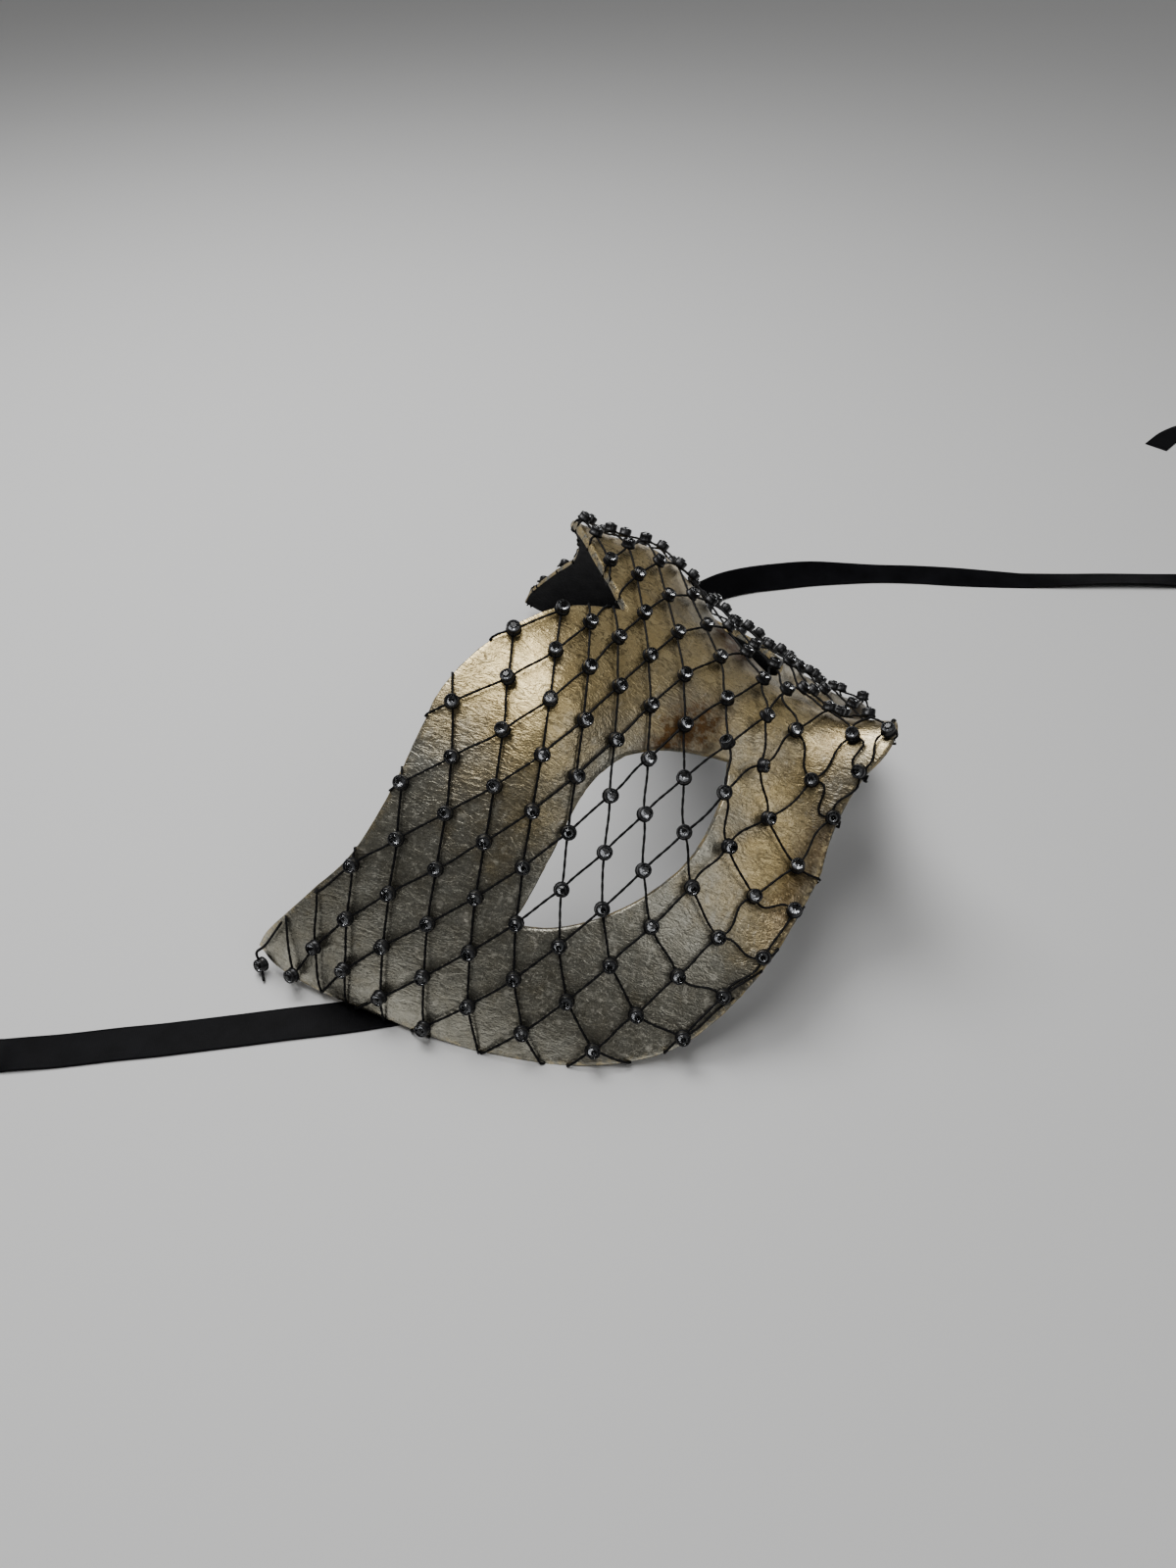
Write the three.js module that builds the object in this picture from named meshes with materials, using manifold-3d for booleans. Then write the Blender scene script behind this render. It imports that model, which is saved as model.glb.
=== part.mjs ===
// A Venetian half mask lying face up: a papier-mache shell under a crystal net, with two ribbons.
// Millimetres, +Z up. X runs across the mask, Y from the nose towards the forehead.
// The origin lies under the middle of the mask, on the surface that the rim rests on.

import * as THREE from 'three';
import { mergeVertices } from 'three/addons/utils/BufferGeometryUtils.js';
import Module from 'manifold-3d';

// Face form: the surface that the shell was moulded over, in the face's own frame
const HALF_WIDTH = 93.5;
const HALF_WIDTH_SLOPE = 0.042;
const HALF_WIDTH_CURVE = -0.00113;
const FORM_DEPTH = 74.3;
const FRONT_FULLNESS = -0.274;
const FORM_LEAN = 0.321;
const FORM_BOW = 0.0011;
const FORM_CURL = -0.0000147;
const SIDE_LEAN = -0.195;

// Nose ridge: height at the tip, bridge and forehead, the levels where one turns into the next
const NOSE_TIP_HEIGHT = 37.2;
const NOSE_BRIDGE_HEIGHT = 6.5;
const NOSE_BROW_HEIGHT = 1.2;
const NOSE_TIP_LEVEL = -11;
const NOSE_TIP_BLEND = 8.8;
const NOSE_BROW_LEVEL = 33;
const NOSE_BROW_BLEND = 7.7;
const NOSE_HALF_WIDTH = 14.5;

// Soft swellings: height, distance from the middle line, level, spread across, spread upward
const BROW = { height: 5, across: 35.2, level: 59.7, spreadAcross: 22, spreadUp: 13.2 };
const CHEEK = { height: 5.9, across: 46.2, level: -17.6, spreadAcross: 19.8, spreadUp: 13.2 };
const NET_BRIDGE = { height: 9.2, across: 23.1, level: 16, spreadAcross: 14.7, spreadUp: 6.9 };
const BRIDGE_LOST_RIGHT = 0.65;
const BRIDGE_BLEND = 4;

// Flat pattern of one half: degrees round the face from the middle line, millimetres up
const TOP_EDGE = [
  [0, 57], [5.6, 67.5], [9.3, 72.8], [15.3, 78.8], [21.9, 83.8], [28.2, 86.6], [33.9, 86.8],
  [39.7, 87.1], [46.9, 88.3], [54.7, 91.2], [63, 97.4], [74.5, 105], [80.2, 106.8],
];
const LOWER_EDGE = [
  [80.2, 106.8], [83, 100], [82.2, 89], [78, 71], [71.4, 45.5], [62.4, 21.8], [52.4, 4.4],
  [42.3, -4.2], [31.5, -9], [22, -11.4], [17.6, -12], [11.9, -10.8], [6.6, -11.4],
  [3.5, -13.9], [0, -14.5],
];
const UPPER_LID = [
  [11.2, 18.8], [12.6, 24.3], [15.8, 33.8], [20.3, 41.3], [26.3, 45.8], [32.5, 47.1],
  [39, 47.5], [45.4, 48.4], [49.4, 49.6],
];
const LOWER_LID = [
  [49.4, 49.6], [46.1, 39.9], [40.2, 29.8], [32.4, 21.2], [24.5, 16.7], [15.7, 16.6], [11.2, 18.8],
];

// Shell wall and its facets
const WALL = 2;
const MIDDLE_STEPS_UP = 3;
const TOP_STEPS = 15;
const LOWER_STEPS = 25;
const MIDDLE_STEPS_DOWN = 4;
const RADIAL_STEPS = 6;

// How the mask lies: tipped back until the rim carries it, with the rim worn flat by a hair
const RESTING_TILT = 13;
const MASK_MIDDLE_LEVEL = 32.3;
const RIM_REST_LEVEL = 34.8;

// Net: every strand is one mesh length between knots, so the knots follow from two threads
const STRAND_LENGTH = 13.2;
const NET_LIFT = 2.3;
const THREAD_RADIUS = 0.4;
const FIRST_KNOT = [32.2, 26.5];
const ROW_THREAD = { heading: -101.9, turn: -0.33, bend: -1.62, sag: 20.1, curl: -0.19, from: -7, to: 5 };
const COLUMN_THREAD = { heading: 127.2, turn: 9.3, bend: 4.05, sag: 13.4, curl: 0.49, from: -5, to: 3.5 };
const SAG_START = 2;
// Where the net was drawn along as it was stretched: place, spread and pull, degrees and millimetres
const NET_PULLS = [
  { place: [84, 98], spread: [14, 12], pull: [0, -4.6] },
  { place: [8, 80], spread: [16, 13], pull: [-0.4, -5.4] },
  { place: [-3, 2], spread: [12, 13], pull: [-1.6, -3.2] },
];
// Knots that the glued border holds at the rim: column and row, then degrees round and level
const RIM_KNOTS = [
  ['-1,3', [48.8, 2.2]],
  ['0,3', [40.5, -2.3]],
  ['1,3', [33, -7]],
  ['2,3', [25.2, -9.3]],
  ['4,2', [11.1, -9.4]],
  ['5,2', [6, -10.2]],
  ['-1,-9', [-20.2, 81.3]],
  ['1,-10', [-40.6, 85.9]],
  ['2,-11', [-54.5, 89.7]],
  ['2,-12', [-62.2, 95.4]],
  ['2,-13', [-72.5, 102.3]],
  ['3,-13', [-78.4, 105.1]],
];
const ROWS_EACH_WAY = [5, 23];
const COLUMNS_EACH_WAY = [17, 13];
const CUP_RADIUS = 1.75;
const CUP_TOP = 1.4;
const CUP_BASE = 1.1;
const EDGE_INSET = 1.2;
const BOW_PER_BEND = 1.5;
const BENDS_AT_MOST = 3;

// Loose thread end with a crystal below the left wing tip, from the last knot: x, y, z
const LAST_KNOT = '-9,-4';
const LOOSE_THREAD = [[-84.9, 64.5, 9.6], [-85.9, 67.2, 6.4], [-86.4, 66.4, 2.6], [-89.3, 64.1, 0.6]];
const LOOSE_CRYSTAL = [-86.4, 66.4, 2.6];
const LOOSE_STEPS = 10;

// Ribbons: woven width, thickness at the middle and sides of the section
const RIBBON_WIDTH = 9.5;
const RIBBON_THICKNESS = 0.4;
const RIBBON_SECTION_SIDES = 8;
// A step is this long where the ribbon lies straight, or turns this far where it twists, degrees
const RIBBON_STEP = 18;
const RIBBON_TWIST_STEP = 11;
const ROUTE_SAMPLES = 1500;
// Glued end and its place inside the temple: degrees round, millimetres up, depth under the wall
const TAB_LENGTH = 14;
const TAB_THICKNESS = 0.6;
const TAB_PLACE = [63, 40];
const TAB_DEPTH = 0.95;
const TABLE_GAP = 0.1;

// Ribbon routes on the table: x, y, z of the middle, and the lean of the width from flat, degrees
const LEFT_ROUTE = [
  [-82.6, 7.3, 5.8, 59], [-82.3, 11.5, 5.6, 60], [-81.4, 16.5, 4.7, 55], [-81.2, 21, 0, 32],
  [-82.7, 26, 0, 8], [-85.8, 31, 0, 0], [-89, 36, 0, 0], [-93.2, 43, 0, 0], [-97.5, 50.5, 0, 0],
  [-103.3, 60.3, 0, 0], [-109.1, 70.2, 0, 0], [-113.7, 78.1, 0, 0], [-118, 86, 0, 0],
  [-124.7, 97.7, 0, 0], [-131, 109.8, 0, 0], [-137.3, 121, 0, 25], [-142.6, 130.6, 0, 65],
  [-145.9, 136.4, 0, 90],
];
const RIGHT_ROUTE = [
  [82.6, 7.3, 5.8, -59], [82.2, 11.5, 5.6, -61], [80.5, 17, 5.2, -64], [77.4, 22.5, 4.8, -66],
  [74.6, 28, 4.5, -60], [74.8, 33.3, 0, -36], [78.4, 35.4, 0, -10], [82.4, 33.9, 0, 0],
  [86, 31, 0, 0], [89.8, 27.7, 0, -2], [94.8, 23.6, 0, -10], [101.5, 19.2, 0, -26],
  [108.3, 15.2, 0, -44], [115, 11.4, 0, -54], [121.5, 7, 0, -57], [128.5, -0.4, 0, -56],
  [136, -10.6, 0, -49], [142.8, -20, 0, -37], [149, -30.3, 0, -22], [154.6, -41.2, 0, -11],
  [159.6, -55, 0, -10], [163.9, -70, 0, -10], [169.3, -86, 0, -4], [176.3, -104.5, 0, 6],
  [184, -123.5, 0, 11], [192.2, -144.6, 0, 6], [200, -164, 0, -28], [210.5, -181.5, 0, -66],
  [228, -196, 0, -90], [251, -204, 0, -90], [276, -206, 0, -90], [301, -200.5, 0, -90],
  [322, -187, 0, -90], [333.5, -168, 0, -68], [331, -152, 0, -30], [319, -142, 0, -3],
  [304, -135.5, 0, 0],
];

// The left ribbon's spare length, rolled loosely on its edge past the end of its route
const ROLL_CENTRE = [-174.8, 128.2];
const ROLL_OUTER = 29.4;
const ROLL_INNER = 18.8;
const ROLL_HEIGHT = 9.6;
const ROLL_SIDES = 20;

const degrees = THREE.MathUtils.degToRad;
const wasm = await Module();
wasm.setup();

// Face form

function rise(value) {
  return 1 / (1 + Math.exp(-value));
}

function swelling({ height, across, level, spreadAcross, spreadUp }, x, y) {
  return height * Math.exp(-(((x - across) / spreadAcross) ** 2) - ((y - level) / spreadUp) ** 2);
}

// A point of the face form, moved out along its own direction by a lift.
function faceForm(angle, y, lift = 0, bridged = false) {
  const sine = Math.sin(angle);
  const cosine = Math.cos(angle);
  const across = (HALF_WIDTH + HALF_WIDTH_SLOPE * y + HALF_WIDTH_CURVE * y * y) * sine;
  const side = Math.abs(across);
  const tipShare = rise((NOSE_TIP_LEVEL - y) / NOSE_TIP_BLEND);
  const browShare = rise((y - NOSE_BROW_LEVEL) / NOSE_BROW_BLEND);
  const ridge = NOSE_TIP_HEIGHT * tipShare + NOSE_BROW_HEIGHT * browShare
    + NOSE_BRIDGE_HEIGHT * (1 - tipShare - browShare);
  const ridgeWidth = NOSE_HALF_WIDTH * (1 + 0.2 * tipShare + 0.8 * browShare);
  let height = ridge * Math.exp(-((across / ridgeWidth) ** 2)) + lift;
  height += swelling(BROW, side, y) + swelling(CHEEK, side, y);
  if (bridged) height += swelling(NET_BRIDGE, side, y) * (1 - BRIDGE_LOST_RIGHT * rise(-across / BRIDGE_BLEND));
  const depth = FORM_DEPTH * cosine * (1 + FRONT_FULLNESS * sine * sine)
    + FORM_LEAN * y + FORM_BOW * y * y + FORM_CURL * y ** 3 + SIDE_LEAN * y * sine * sine;
  return new THREE.Vector3(-(across + height * sine), y, depth + height * cosine);
}

// From the face's own frame to the mask as it lies on the table.
function onTable(point) {
  return point.clone()
    .applyAxisAngle(new THREE.Vector3(1, 0, 0), degrees(RESTING_TILT))
    .sub(new THREE.Vector3(0, MASK_MIDDLE_LEVEL, RIM_REST_LEVEL));
}

function wallPoint(angle, y, depth) {
  const step = 0.001;
  const here = faceForm(angle, y);
  const round = faceForm(angle + step, y).sub(faceForm(angle - step, y));
  const up = faceForm(angle, y + 1).sub(faceForm(angle, y - 1));
  const normal = up.cross(round).normalize();
  if (Math.abs(angle) < step / 2) normal.setX(0).normalize();
  return onTable(here.addScaledVector(normal, -depth));
}

// Flat pattern

function smoothLine(points, steps = 12) {
  const curve = new THREE.CatmullRomCurve3(
    points.map(([angle, y]) => new THREE.Vector3(angle, y, 0)), false, 'catmullrom', 0.5);
  return curve.getPoints(steps * (points.length - 1)).map((point) => [point.x, point.y]);
}

// The same line in even steps, lengths taken on the pattern laid flat.
function evenSteps(line, count) {
  const flat = line.map(([angle, y]) => new THREE.Vector2(degrees(angle) * HALF_WIDTH, y));
  const along = [0];
  flat.slice(1).forEach((point, k) => along.push(along[k] + point.distanceTo(flat[k])));
  const whole = along.at(-1);
  return Array.from({ length: count + 1 }, (_, k) => {
    const target = (whole * k) / count;
    const i = Math.min(Math.max(along.findIndex((s) => s >= target), 1), along.length - 1);
    const share = (target - along[i - 1]) / (along[i] - along[i - 1]);
    return [0, 1].map((axis) => line[i - 1][axis] + share * (line[i][axis] - line[i - 1][axis]));
  });
}

// Shell: rings of points between the eye hole and the edge, on both halves and both faces

function halfRings() {
  const corner = UPPER_LID[0][1];
  const middleUp = evenSteps([[0, corner], TOP_EDGE[0]], MIDDLE_STEPS_UP);
  const middleDown = evenSteps([LOWER_EDGE.at(-1), [0, corner]], MIDDLE_STEPS_DOWN);
  const edge = [
    ...middleUp.slice(0, -1),
    ...evenSteps(smoothLine(TOP_EDGE), TOP_STEPS).slice(0, -1),
    ...evenSteps(smoothLine(LOWER_EDGE), LOWER_STEPS).slice(0, -1),
    ...middleDown.slice(0, -1),
  ];
  const hole = [
    ...evenSteps(smoothLine(UPPER_LID), MIDDLE_STEPS_UP + TOP_STEPS).slice(0, -1),
    ...evenSteps(smoothLine(LOWER_LID), LOWER_STEPS + MIDDLE_STEPS_DOWN).slice(0, -1),
  ];
  return Array.from({ length: RADIAL_STEPS + 1 }, (_, ring) => {
    const share = ring / RADIAL_STEPS;
    return hole.map((point, k) => [0, 1].map((axis) =>
      point[axis] + share * (edge[k][axis] - point[axis])));
  });
}

function shellGeometry() {
  const rings = halfRings();
  const around = rings[0].length;
  const positions = [];
  const indices = [];
  const onMiddle = (k) => k <= MIDDLE_STEPS_UP - 1 || k >= around - MIDDLE_STEPS_DOWN;
  const index = (half, face, ring, k) =>
    ((half * 2 + face) * rings.length + ring) * around + (k % around);
  for (const side of [1, -1]) {
    for (const depth of [0, WALL]) {
      for (const ring of rings) {
        for (const [angle, y] of ring) {
          positions.push(...wallPoint(side * degrees(angle), y, depth).toArray());
        }
      }
    }
  }
  const quad = (a, b, c, d, flip) => {
    if (flip) indices.push(a, c, b, a, d, c);
    else indices.push(a, b, c, a, c, d);
  };
  for (const half of [0, 1]) {
    for (let k = 0; k < around; k += 1) {
      for (let ring = 0; ring < RADIAL_STEPS; ring += 1) {
        for (const face of [0, 1]) {
          quad(index(half, face, ring, k), index(half, face, ring, k + 1),
            index(half, face, ring + 1, k + 1), index(half, face, ring + 1, k), (half + face) % 2 === 0);
        }
      }
      quad(index(half, 0, 0, k), index(half, 0, 0, k + 1),
        index(half, 1, 0, k + 1), index(half, 1, 0, k), half === 1);
      if (!onMiddle(k)) {
        quad(index(half, 0, RADIAL_STEPS, k), index(half, 0, RADIAL_STEPS, k + 1),
          index(half, 1, RADIAL_STEPS, k + 1), index(half, 1, RADIAL_STEPS, k), half === 0);
      }
    }
  }
  const geometry = new THREE.BufferGeometry();
  geometry.setAttribute('position', new THREE.Float32BufferAttribute(positions, 3));
  geometry.setIndex(indices);
  return geometry;
}

// Solids to and from the boolean library

function toSolid(geometry) {
  const bare = geometry.clone();
  bare.deleteAttribute('normal');
  bare.deleteAttribute('uv');
  const merged = mergeVertices(bare, 0.001);
  return new wasm.Manifold(new wasm.Mesh({
    numProp: 3,
    vertProperties: new Float32Array(merged.attributes.position.array),
    triVerts: new Uint32Array(merged.index.array),
  }));
}

function toGeometry(solid) {
  const { vertProperties, triVerts } = solid.getMesh();
  const geometry = new THREE.BufferGeometry();
  geometry.setAttribute('position', new THREE.BufferAttribute(vertProperties, 3));
  geometry.setIndex(new THREE.BufferAttribute(triVerts, 1));
  geometry.computeVertexNormals();
  return geometry;
}

// Net: knots one strand apart along two threads, and the rest from pairs of neighbours

function netPoint([angle, y]) {
  return faceForm(angle, y, NET_LIFT, true);
}

function netTangents([angle, y]) {
  const step = 0.0005;
  const here = netPoint([angle, y]);
  const round = netPoint([angle + step, y]).sub(here).divideScalar(step);
  const up = netPoint([angle, y + 100 * step]).sub(here).divideScalar(100 * step);
  return { here, round, up };
}

// The pattern step whose surface step is nearest to a wanted one in space.
function patternStep({ round, up }, wanted) {
  const a = round.dot(round);
  const b = round.dot(up);
  const c = up.dot(up);
  const p = round.dot(wanted);
  const q = up.dot(wanted);
  const area = a * c - b * b;
  return [(c * p - b * q) / area, (a * q - b * p) / area];
}

function headingAt({ heading, turn, bend, sag, curl, from, to }, strands) {
  const k = Math.min(Math.max(strands, from), to);
  return degrees(heading + turn * k + bend * k * k + sag * Math.max(0, k - SAG_START) + curl * k ** 3);
}

// One thread from the first knot, a strand at a time, turning as its headings say.
function threadKnots(thread, count, way) {
  const knots = [[degrees(FIRST_KNOT[0]), FIRST_KNOT[1]]];
  for (let k = 0; k < count; k += 1) {
    const from = knots.at(-1);
    const tangents = netTangents(from);
    const upward = tangents.up.clone().normalize();
    const sideways = tangents.round.clone().addScaledVector(upward, -tangents.round.dot(upward));
    const heading = headingAt(thread, way * (k + 0.5));
    const wanted = upward.multiplyScalar(Math.cos(heading))
      .addScaledVector(sideways.normalize(), Math.sin(heading)).multiplyScalar(way * STRAND_LENGTH);
    let step = patternStep(tangents, wanted);
    for (let pass = 0; pass < 4; pass += 1) {
      const reach = netPoint([from[0] + step[0], from[1] + step[1]]).distanceTo(tangents.here);
      step = step.map((part) => part * (STRAND_LENGTH / reach));
    }
    knots.push([from[0] + step[0], from[1] + step[1]]);
  }
  return knots;
}

// The knot one strand away from both neighbours, on the far side from the knot they share.
function meetingKnot(first, second, shared) {
  const a = netPoint(first);
  const b = netPoint(second);
  let knot = [first[0] + second[0] - shared[0], first[1] + second[1] - shared[1]];
  for (let pass = 0; pass < 12; pass += 1) {
    const { here, round, up } = netTangents(knot);
    const fromA = here.clone().sub(a);
    const fromB = here.clone().sub(b);
    const missA = (STRAND_LENGTH ** 2 - fromA.lengthSq()) / 2;
    const missB = (STRAND_LENGTH ** 2 - fromB.lengthSq()) / 2;
    const det = fromA.dot(round) * fromB.dot(up) - fromA.dot(up) * fromB.dot(round);
    const step = [
      (missA * fromB.dot(up) - missB * fromA.dot(up)) / det,
      (missB * fromA.dot(round) - missA * fromB.dot(round)) / det,
    ];
    const size = Math.max(Math.abs(step[0]) * 80, Math.abs(step[1]));
    const share = Math.min(1, 6 / size);
    knot = [knot[0] + share * step[0], knot[1] + share * step[1]];
    if (size < 0.001) return knot;
  }
  return null;
}

function pulled([angle, y]) {
  const moved = [angle, y];
  for (const { place, spread, pull } of NET_PULLS) {
    const share = Math.exp(-(((angle - degrees(place[0])) / degrees(spread[0])) ** 2)
      - ((y - place[1]) / spread[1]) ** 2);
    moved[0] += share * degrees(pull[0]);
    moved[1] += share * pull[1];
  }
  return moved;
}

function netKnots() {
  const knots = new Map();
  const key = (column, row) => `${column},${row}`;
  for (const way of [1, -1]) {
    const rows = ROWS_EACH_WAY[way > 0 ? 0 : 1];
    const columns = COLUMNS_EACH_WAY[way > 0 ? 0 : 1];
    threadKnots(ROW_THREAD, columns, way).forEach((knot, k) => knots.set(key(way * k, 0), knot));
    threadKnots(COLUMN_THREAD, rows, way).forEach((knot, k) => knots.set(key(0, way * k), knot));
  }
  for (const across of [1, -1]) {
    for (const along of [1, -1]) {
      for (let i = 1; i <= COLUMNS_EACH_WAY[across > 0 ? 0 : 1]; i += 1) {
        for (let j = 1; j <= ROWS_EACH_WAY[along > 0 ? 0 : 1]; j += 1) {
          const first = knots.get(key(across * (i - 1), along * j));
          const second = knots.get(key(across * i, along * (j - 1)));
          const shared = knots.get(key(across * (i - 1), along * (j - 1)));
          if (!first || !second || !shared) continue;
          const knot = meetingKnot(first, second, shared);
          if (knot) knots.set(key(across * i, along * j), knot);
        }
      }
    }
  }
  const atRim = new Map(RIM_KNOTS.map(([name, [angle, y]]) => [name, [degrees(angle), y]]));
  return new Map([...knots].map(([name, knot]) => [name, atRim.get(name) ?? pulled(knot)]));
}

// How a point of the pattern lies to the mask's edge: true inside, with an inset in millimetres.
const edgeLine = [...smoothLine(TOP_EDGE), ...smoothLine(LOWER_EDGE).slice(1)]
  .map(([angle, y]) => new THREE.Vector2(degrees(angle) * HALF_WIDTH, y));

function onMask([angle, y], inset) {
  const x = Math.abs(angle) * HALF_WIDTH;
  let inside = false;
  let nearest = Infinity;
  edgeLine.forEach((end, k) => {
    const start = edgeLine[(k || edgeLine.length) - 1];
    if ((start.y > y) !== (end.y > y)
      && x < start.x + ((y - start.y) / (end.y - start.y)) * (end.x - start.x)) inside = !inside;
    if (k === 0) return;
    const side = end.clone().sub(start);
    const share = Math.min(1, Math.max(0, new THREE.Vector2(x, y).sub(start).dot(side) / side.lengthSq()));
    nearest = Math.min(nearest, Math.hypot(x - start.x - share * side.x, y - start.y - share * side.y));
  });
  return inside && nearest > inset;
}

function between(first, second, share) {
  return [0, 1].map((axis) => first[axis] + share * (second[axis] - first[axis]));
}

// The share of a strand that lies on the mask, but never less than its cup needs.
function shareOnMask(first, second) {
  let low = 0;
  let high = 1;
  for (let pass = 0; pass < 12; pass += 1) {
    const middle = (low + high) / 2;
    if (onMask(between(first, second, middle), 0)) low = middle;
    else high = middle;
  }
  return Math.max(low, (1.4 * CUP_RADIUS) / STRAND_LENGTH);
}

function netFrame(place) {
  const { up, round } = netTangents(place);
  const outward = onTable(up.cross(round).normalize()).sub(onTable(new THREE.Vector3()));
  return { centre: onTable(netPoint(place)), outward };
}

// The three corners of a thread's section: on top, left and right, seen along the thread.
function threadRing(corners, centre, outward, along) {
  const left = new THREE.Vector3().crossVectors(outward, along).normalize();
  const low = centre.clone().addScaledVector(outward, -THREAD_RADIUS / 2);
  const reach = THREAD_RADIUS * Math.sin(Math.PI / 3);
  return [
    corners.push(centre.clone().addScaledVector(outward, THREAD_RADIUS)) - 1,
    corners.push(low.clone().addScaledVector(left, reach)) - 1,
    corners.push(low.clone().addScaledVector(left, -reach)) - 1,
  ];
}

function threadFaces(start, end) {
  return [0, 1, 2].flatMap((k) => {
    const next = (k + 1) % 3;
    return [start[k], end[next], start[next], start[k], end[k], end[next]];
  });
}

// A cup and crystal: a low gem whose sides open into its four threads.
function cupFaces(top, base, threads) {
  return threads.flatMap(([upper, left, right], k) => {
    const [nextUpper, , nextRight] = threads[(k + 1) % threads.length];
    return [top, upper, nextUpper, upper, left, nextRight, upper, nextRight, nextUpper,
      base, nextRight, left, base, left, right];
  });
}

function netGeometry() {
  const knots = netKnots();
  const onNet = [...knots].filter(([, knot]) => onMask(knot, EDGE_INSET));
  const steps = [[1, 0], [0, 1], [-1, 0], [0, -1]];
  const nameOf = (name, [i, j]) => {
    const [column, row] = name.split(',').map(Number);
    return `${column + i},${row + j}`;
  };
  const corners = [];
  const faces = [];
  const starts = new Map();
  for (const [name, knot] of onNet) {
    const { centre, outward } = netFrame(knot);
    const arms = steps.map((step) => {
      const other = nameOf(name, step);
      const along = onTable(netPoint(knots.get(other))).sub(centre);
      along.addScaledVector(outward, -along.dot(outward)).normalize();
      const ring = threadRing(corners, centre.clone().addScaledVector(along, CUP_RADIUS), outward, along);
      starts.set(`${name}>${other}`, ring);
      return { along, ring };
    });
    const first = arms[0].along;
    const turned = ({ along }) => {
      const angle = Math.atan2(first.clone().cross(along).dot(outward), first.dot(along));
      return angle < 0 ? angle + 2 * Math.PI : angle;
    };
    const inOrder = [arms[0], ...arms.slice(1).sort((a, b) => turned(a) - turned(b))];
    const top = corners.push(centre.clone().addScaledVector(outward, CUP_TOP)) - 1;
    const base = corners.push(centre.clone().addScaledVector(outward, -CUP_BASE)) - 1;
    faces.push(...cupFaces(top, base, inOrder.map(({ ring }) => ring)));
  }
  for (const [name, knot] of onNet) {
    for (const step of steps) {
      const other = nameOf(name, step);
      const far = starts.get(`${other}>${name}`);
      if (far && step[0] + step[1] < 0) continue;
      const share = far ? 1 : shareOnMask(knot, knots.get(other));
      const points = [0, 0.5, 1].map((part) => netFrame(between(knot, knots.get(other), part * share)));
      const along = points[2].centre.clone().sub(points[0].centre).normalize();
      const bow = points[0].centre.clone().lerp(points[2].centre, 0.5).distanceTo(points[1].centre);
      const bends = Math.min(BENDS_AT_MOST, Math.round(bow / BOW_PER_BEND));
      const rings = [starts.get(`${name}>${other}`)];
      for (let bend = 1; bend <= bends; bend += 1) {
        const { centre, outward } = netFrame(between(knot, knots.get(other), (bend / (bends + 1)) * share));
        rings.push(threadRing(corners, centre, outward, along));
      }
      if (far) {
        rings.push([far[0], far[2], far[1]]);
      } else {
        const end = threadRing(corners, points[2].centre, points[2].outward, along);
        rings.push(end);
        faces.push(end[0], end[2], end[1]);
      }
      rings.slice(1).forEach((ring, k) => faces.push(...threadFaces(rings[k], ring)));
    }
  }
  return new THREE.BufferGeometry().setFromPoints(corners).setIndex(faces);
}

function looseThread() {
  const start = netFrame(netKnots().get(LAST_KNOT)).centre;
  const path = new THREE.CatmullRomCurve3([start, ...LOOSE_THREAD.map((p) => new THREE.Vector3(...p))]);
  const section = new THREE.Shape([0, 1, 2].map((k) => new THREE.Vector2(
    THREAD_RADIUS * Math.cos((2 * Math.PI * k) / 3), THREAD_RADIUS * Math.sin((2 * Math.PI * k) / 3))));
  return new THREE.ExtrudeGeometry(section, {
    steps: LOOSE_STEPS, bevelEnabled: false, extrudePath: path });
}

function looseCrystal() {
  return new THREE.OctahedronGeometry(CUP_RADIUS)
    .scale(1, 1, (CUP_TOP + CUP_BASE) / 2 / CUP_RADIUS)
    .translate(...LOOSE_CRYSTAL);
}

// Ribbons

// A route whose width leans as given, and which keeps clear of the table at every lean.
class RibbonRoute extends THREE.CatmullRomCurve3 {
  constructor(route) {
    super(route.map(([x, y, z]) => new THREE.Vector3(x, y, z)), false, 'centripetal');
    this.leans = new THREE.CatmullRomCurve3(
      route.map(([, , , lean]) => new THREE.Vector3(degrees(lean), 0, 0)), false, 'catmullrom', 0.5);
  }

  // Steps share out the length and the twist alike, so that a sharp twist is not cut short.
  getLengths() {
    if (this.measures) return this.measures;
    const shares = [0];
    const lean = (k) => this.leans.getPoint(k / ROUTE_SAMPLES).x;
    for (let k = 1; k <= ROUTE_SAMPLES; k += 1) {
      const along = this.getPoint(k / ROUTE_SAMPLES).distanceTo(this.getPoint((k - 1) / ROUTE_SAMPLES));
      const twist = Math.abs(lean(k) - lean(k - 1)) / degrees(RIBBON_TWIST_STEP);
      shares.push(shares[k - 1] + along / RIBBON_STEP + twist);
    }
    this.measures = shares;
    return shares;
  }

  getPoint(t, target = new THREE.Vector3()) {
    const point = super.getPoint(t, target);
    if (!this.leans) return point;
    const lean = this.leans.getPoint(t).x;
    const least = (RIBBON_WIDTH / 2) * Math.abs(Math.sin(lean))
      + (RIBBON_THICKNESS / 2) * Math.abs(Math.cos(lean)) + TABLE_GAP;
    return point.setZ(Math.max(point.z, least));
  }

  computeFrenetFrames(segments) {
    const frames = { tangents: [], normals: [], binormals: [] };
    for (let k = 0; k <= segments; k += 1) {
      const tangent = this.getTangentAt(k / segments);
      const lean = this.leans.getPoint(this.getUtoTmapping(k / segments)).x;
      const level = new THREE.Vector3(tangent.y, -tangent.x, 0).normalize();
      const rising = level.clone().cross(tangent);
      const across = level.multiplyScalar(Math.cos(lean)).addScaledVector(rising, Math.sin(lean));
      frames.tangents.push(tangent);
      frames.normals.push(across);
      frames.binormals.push(tangent.clone().cross(across));
    }
    return frames;
  }
}

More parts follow.
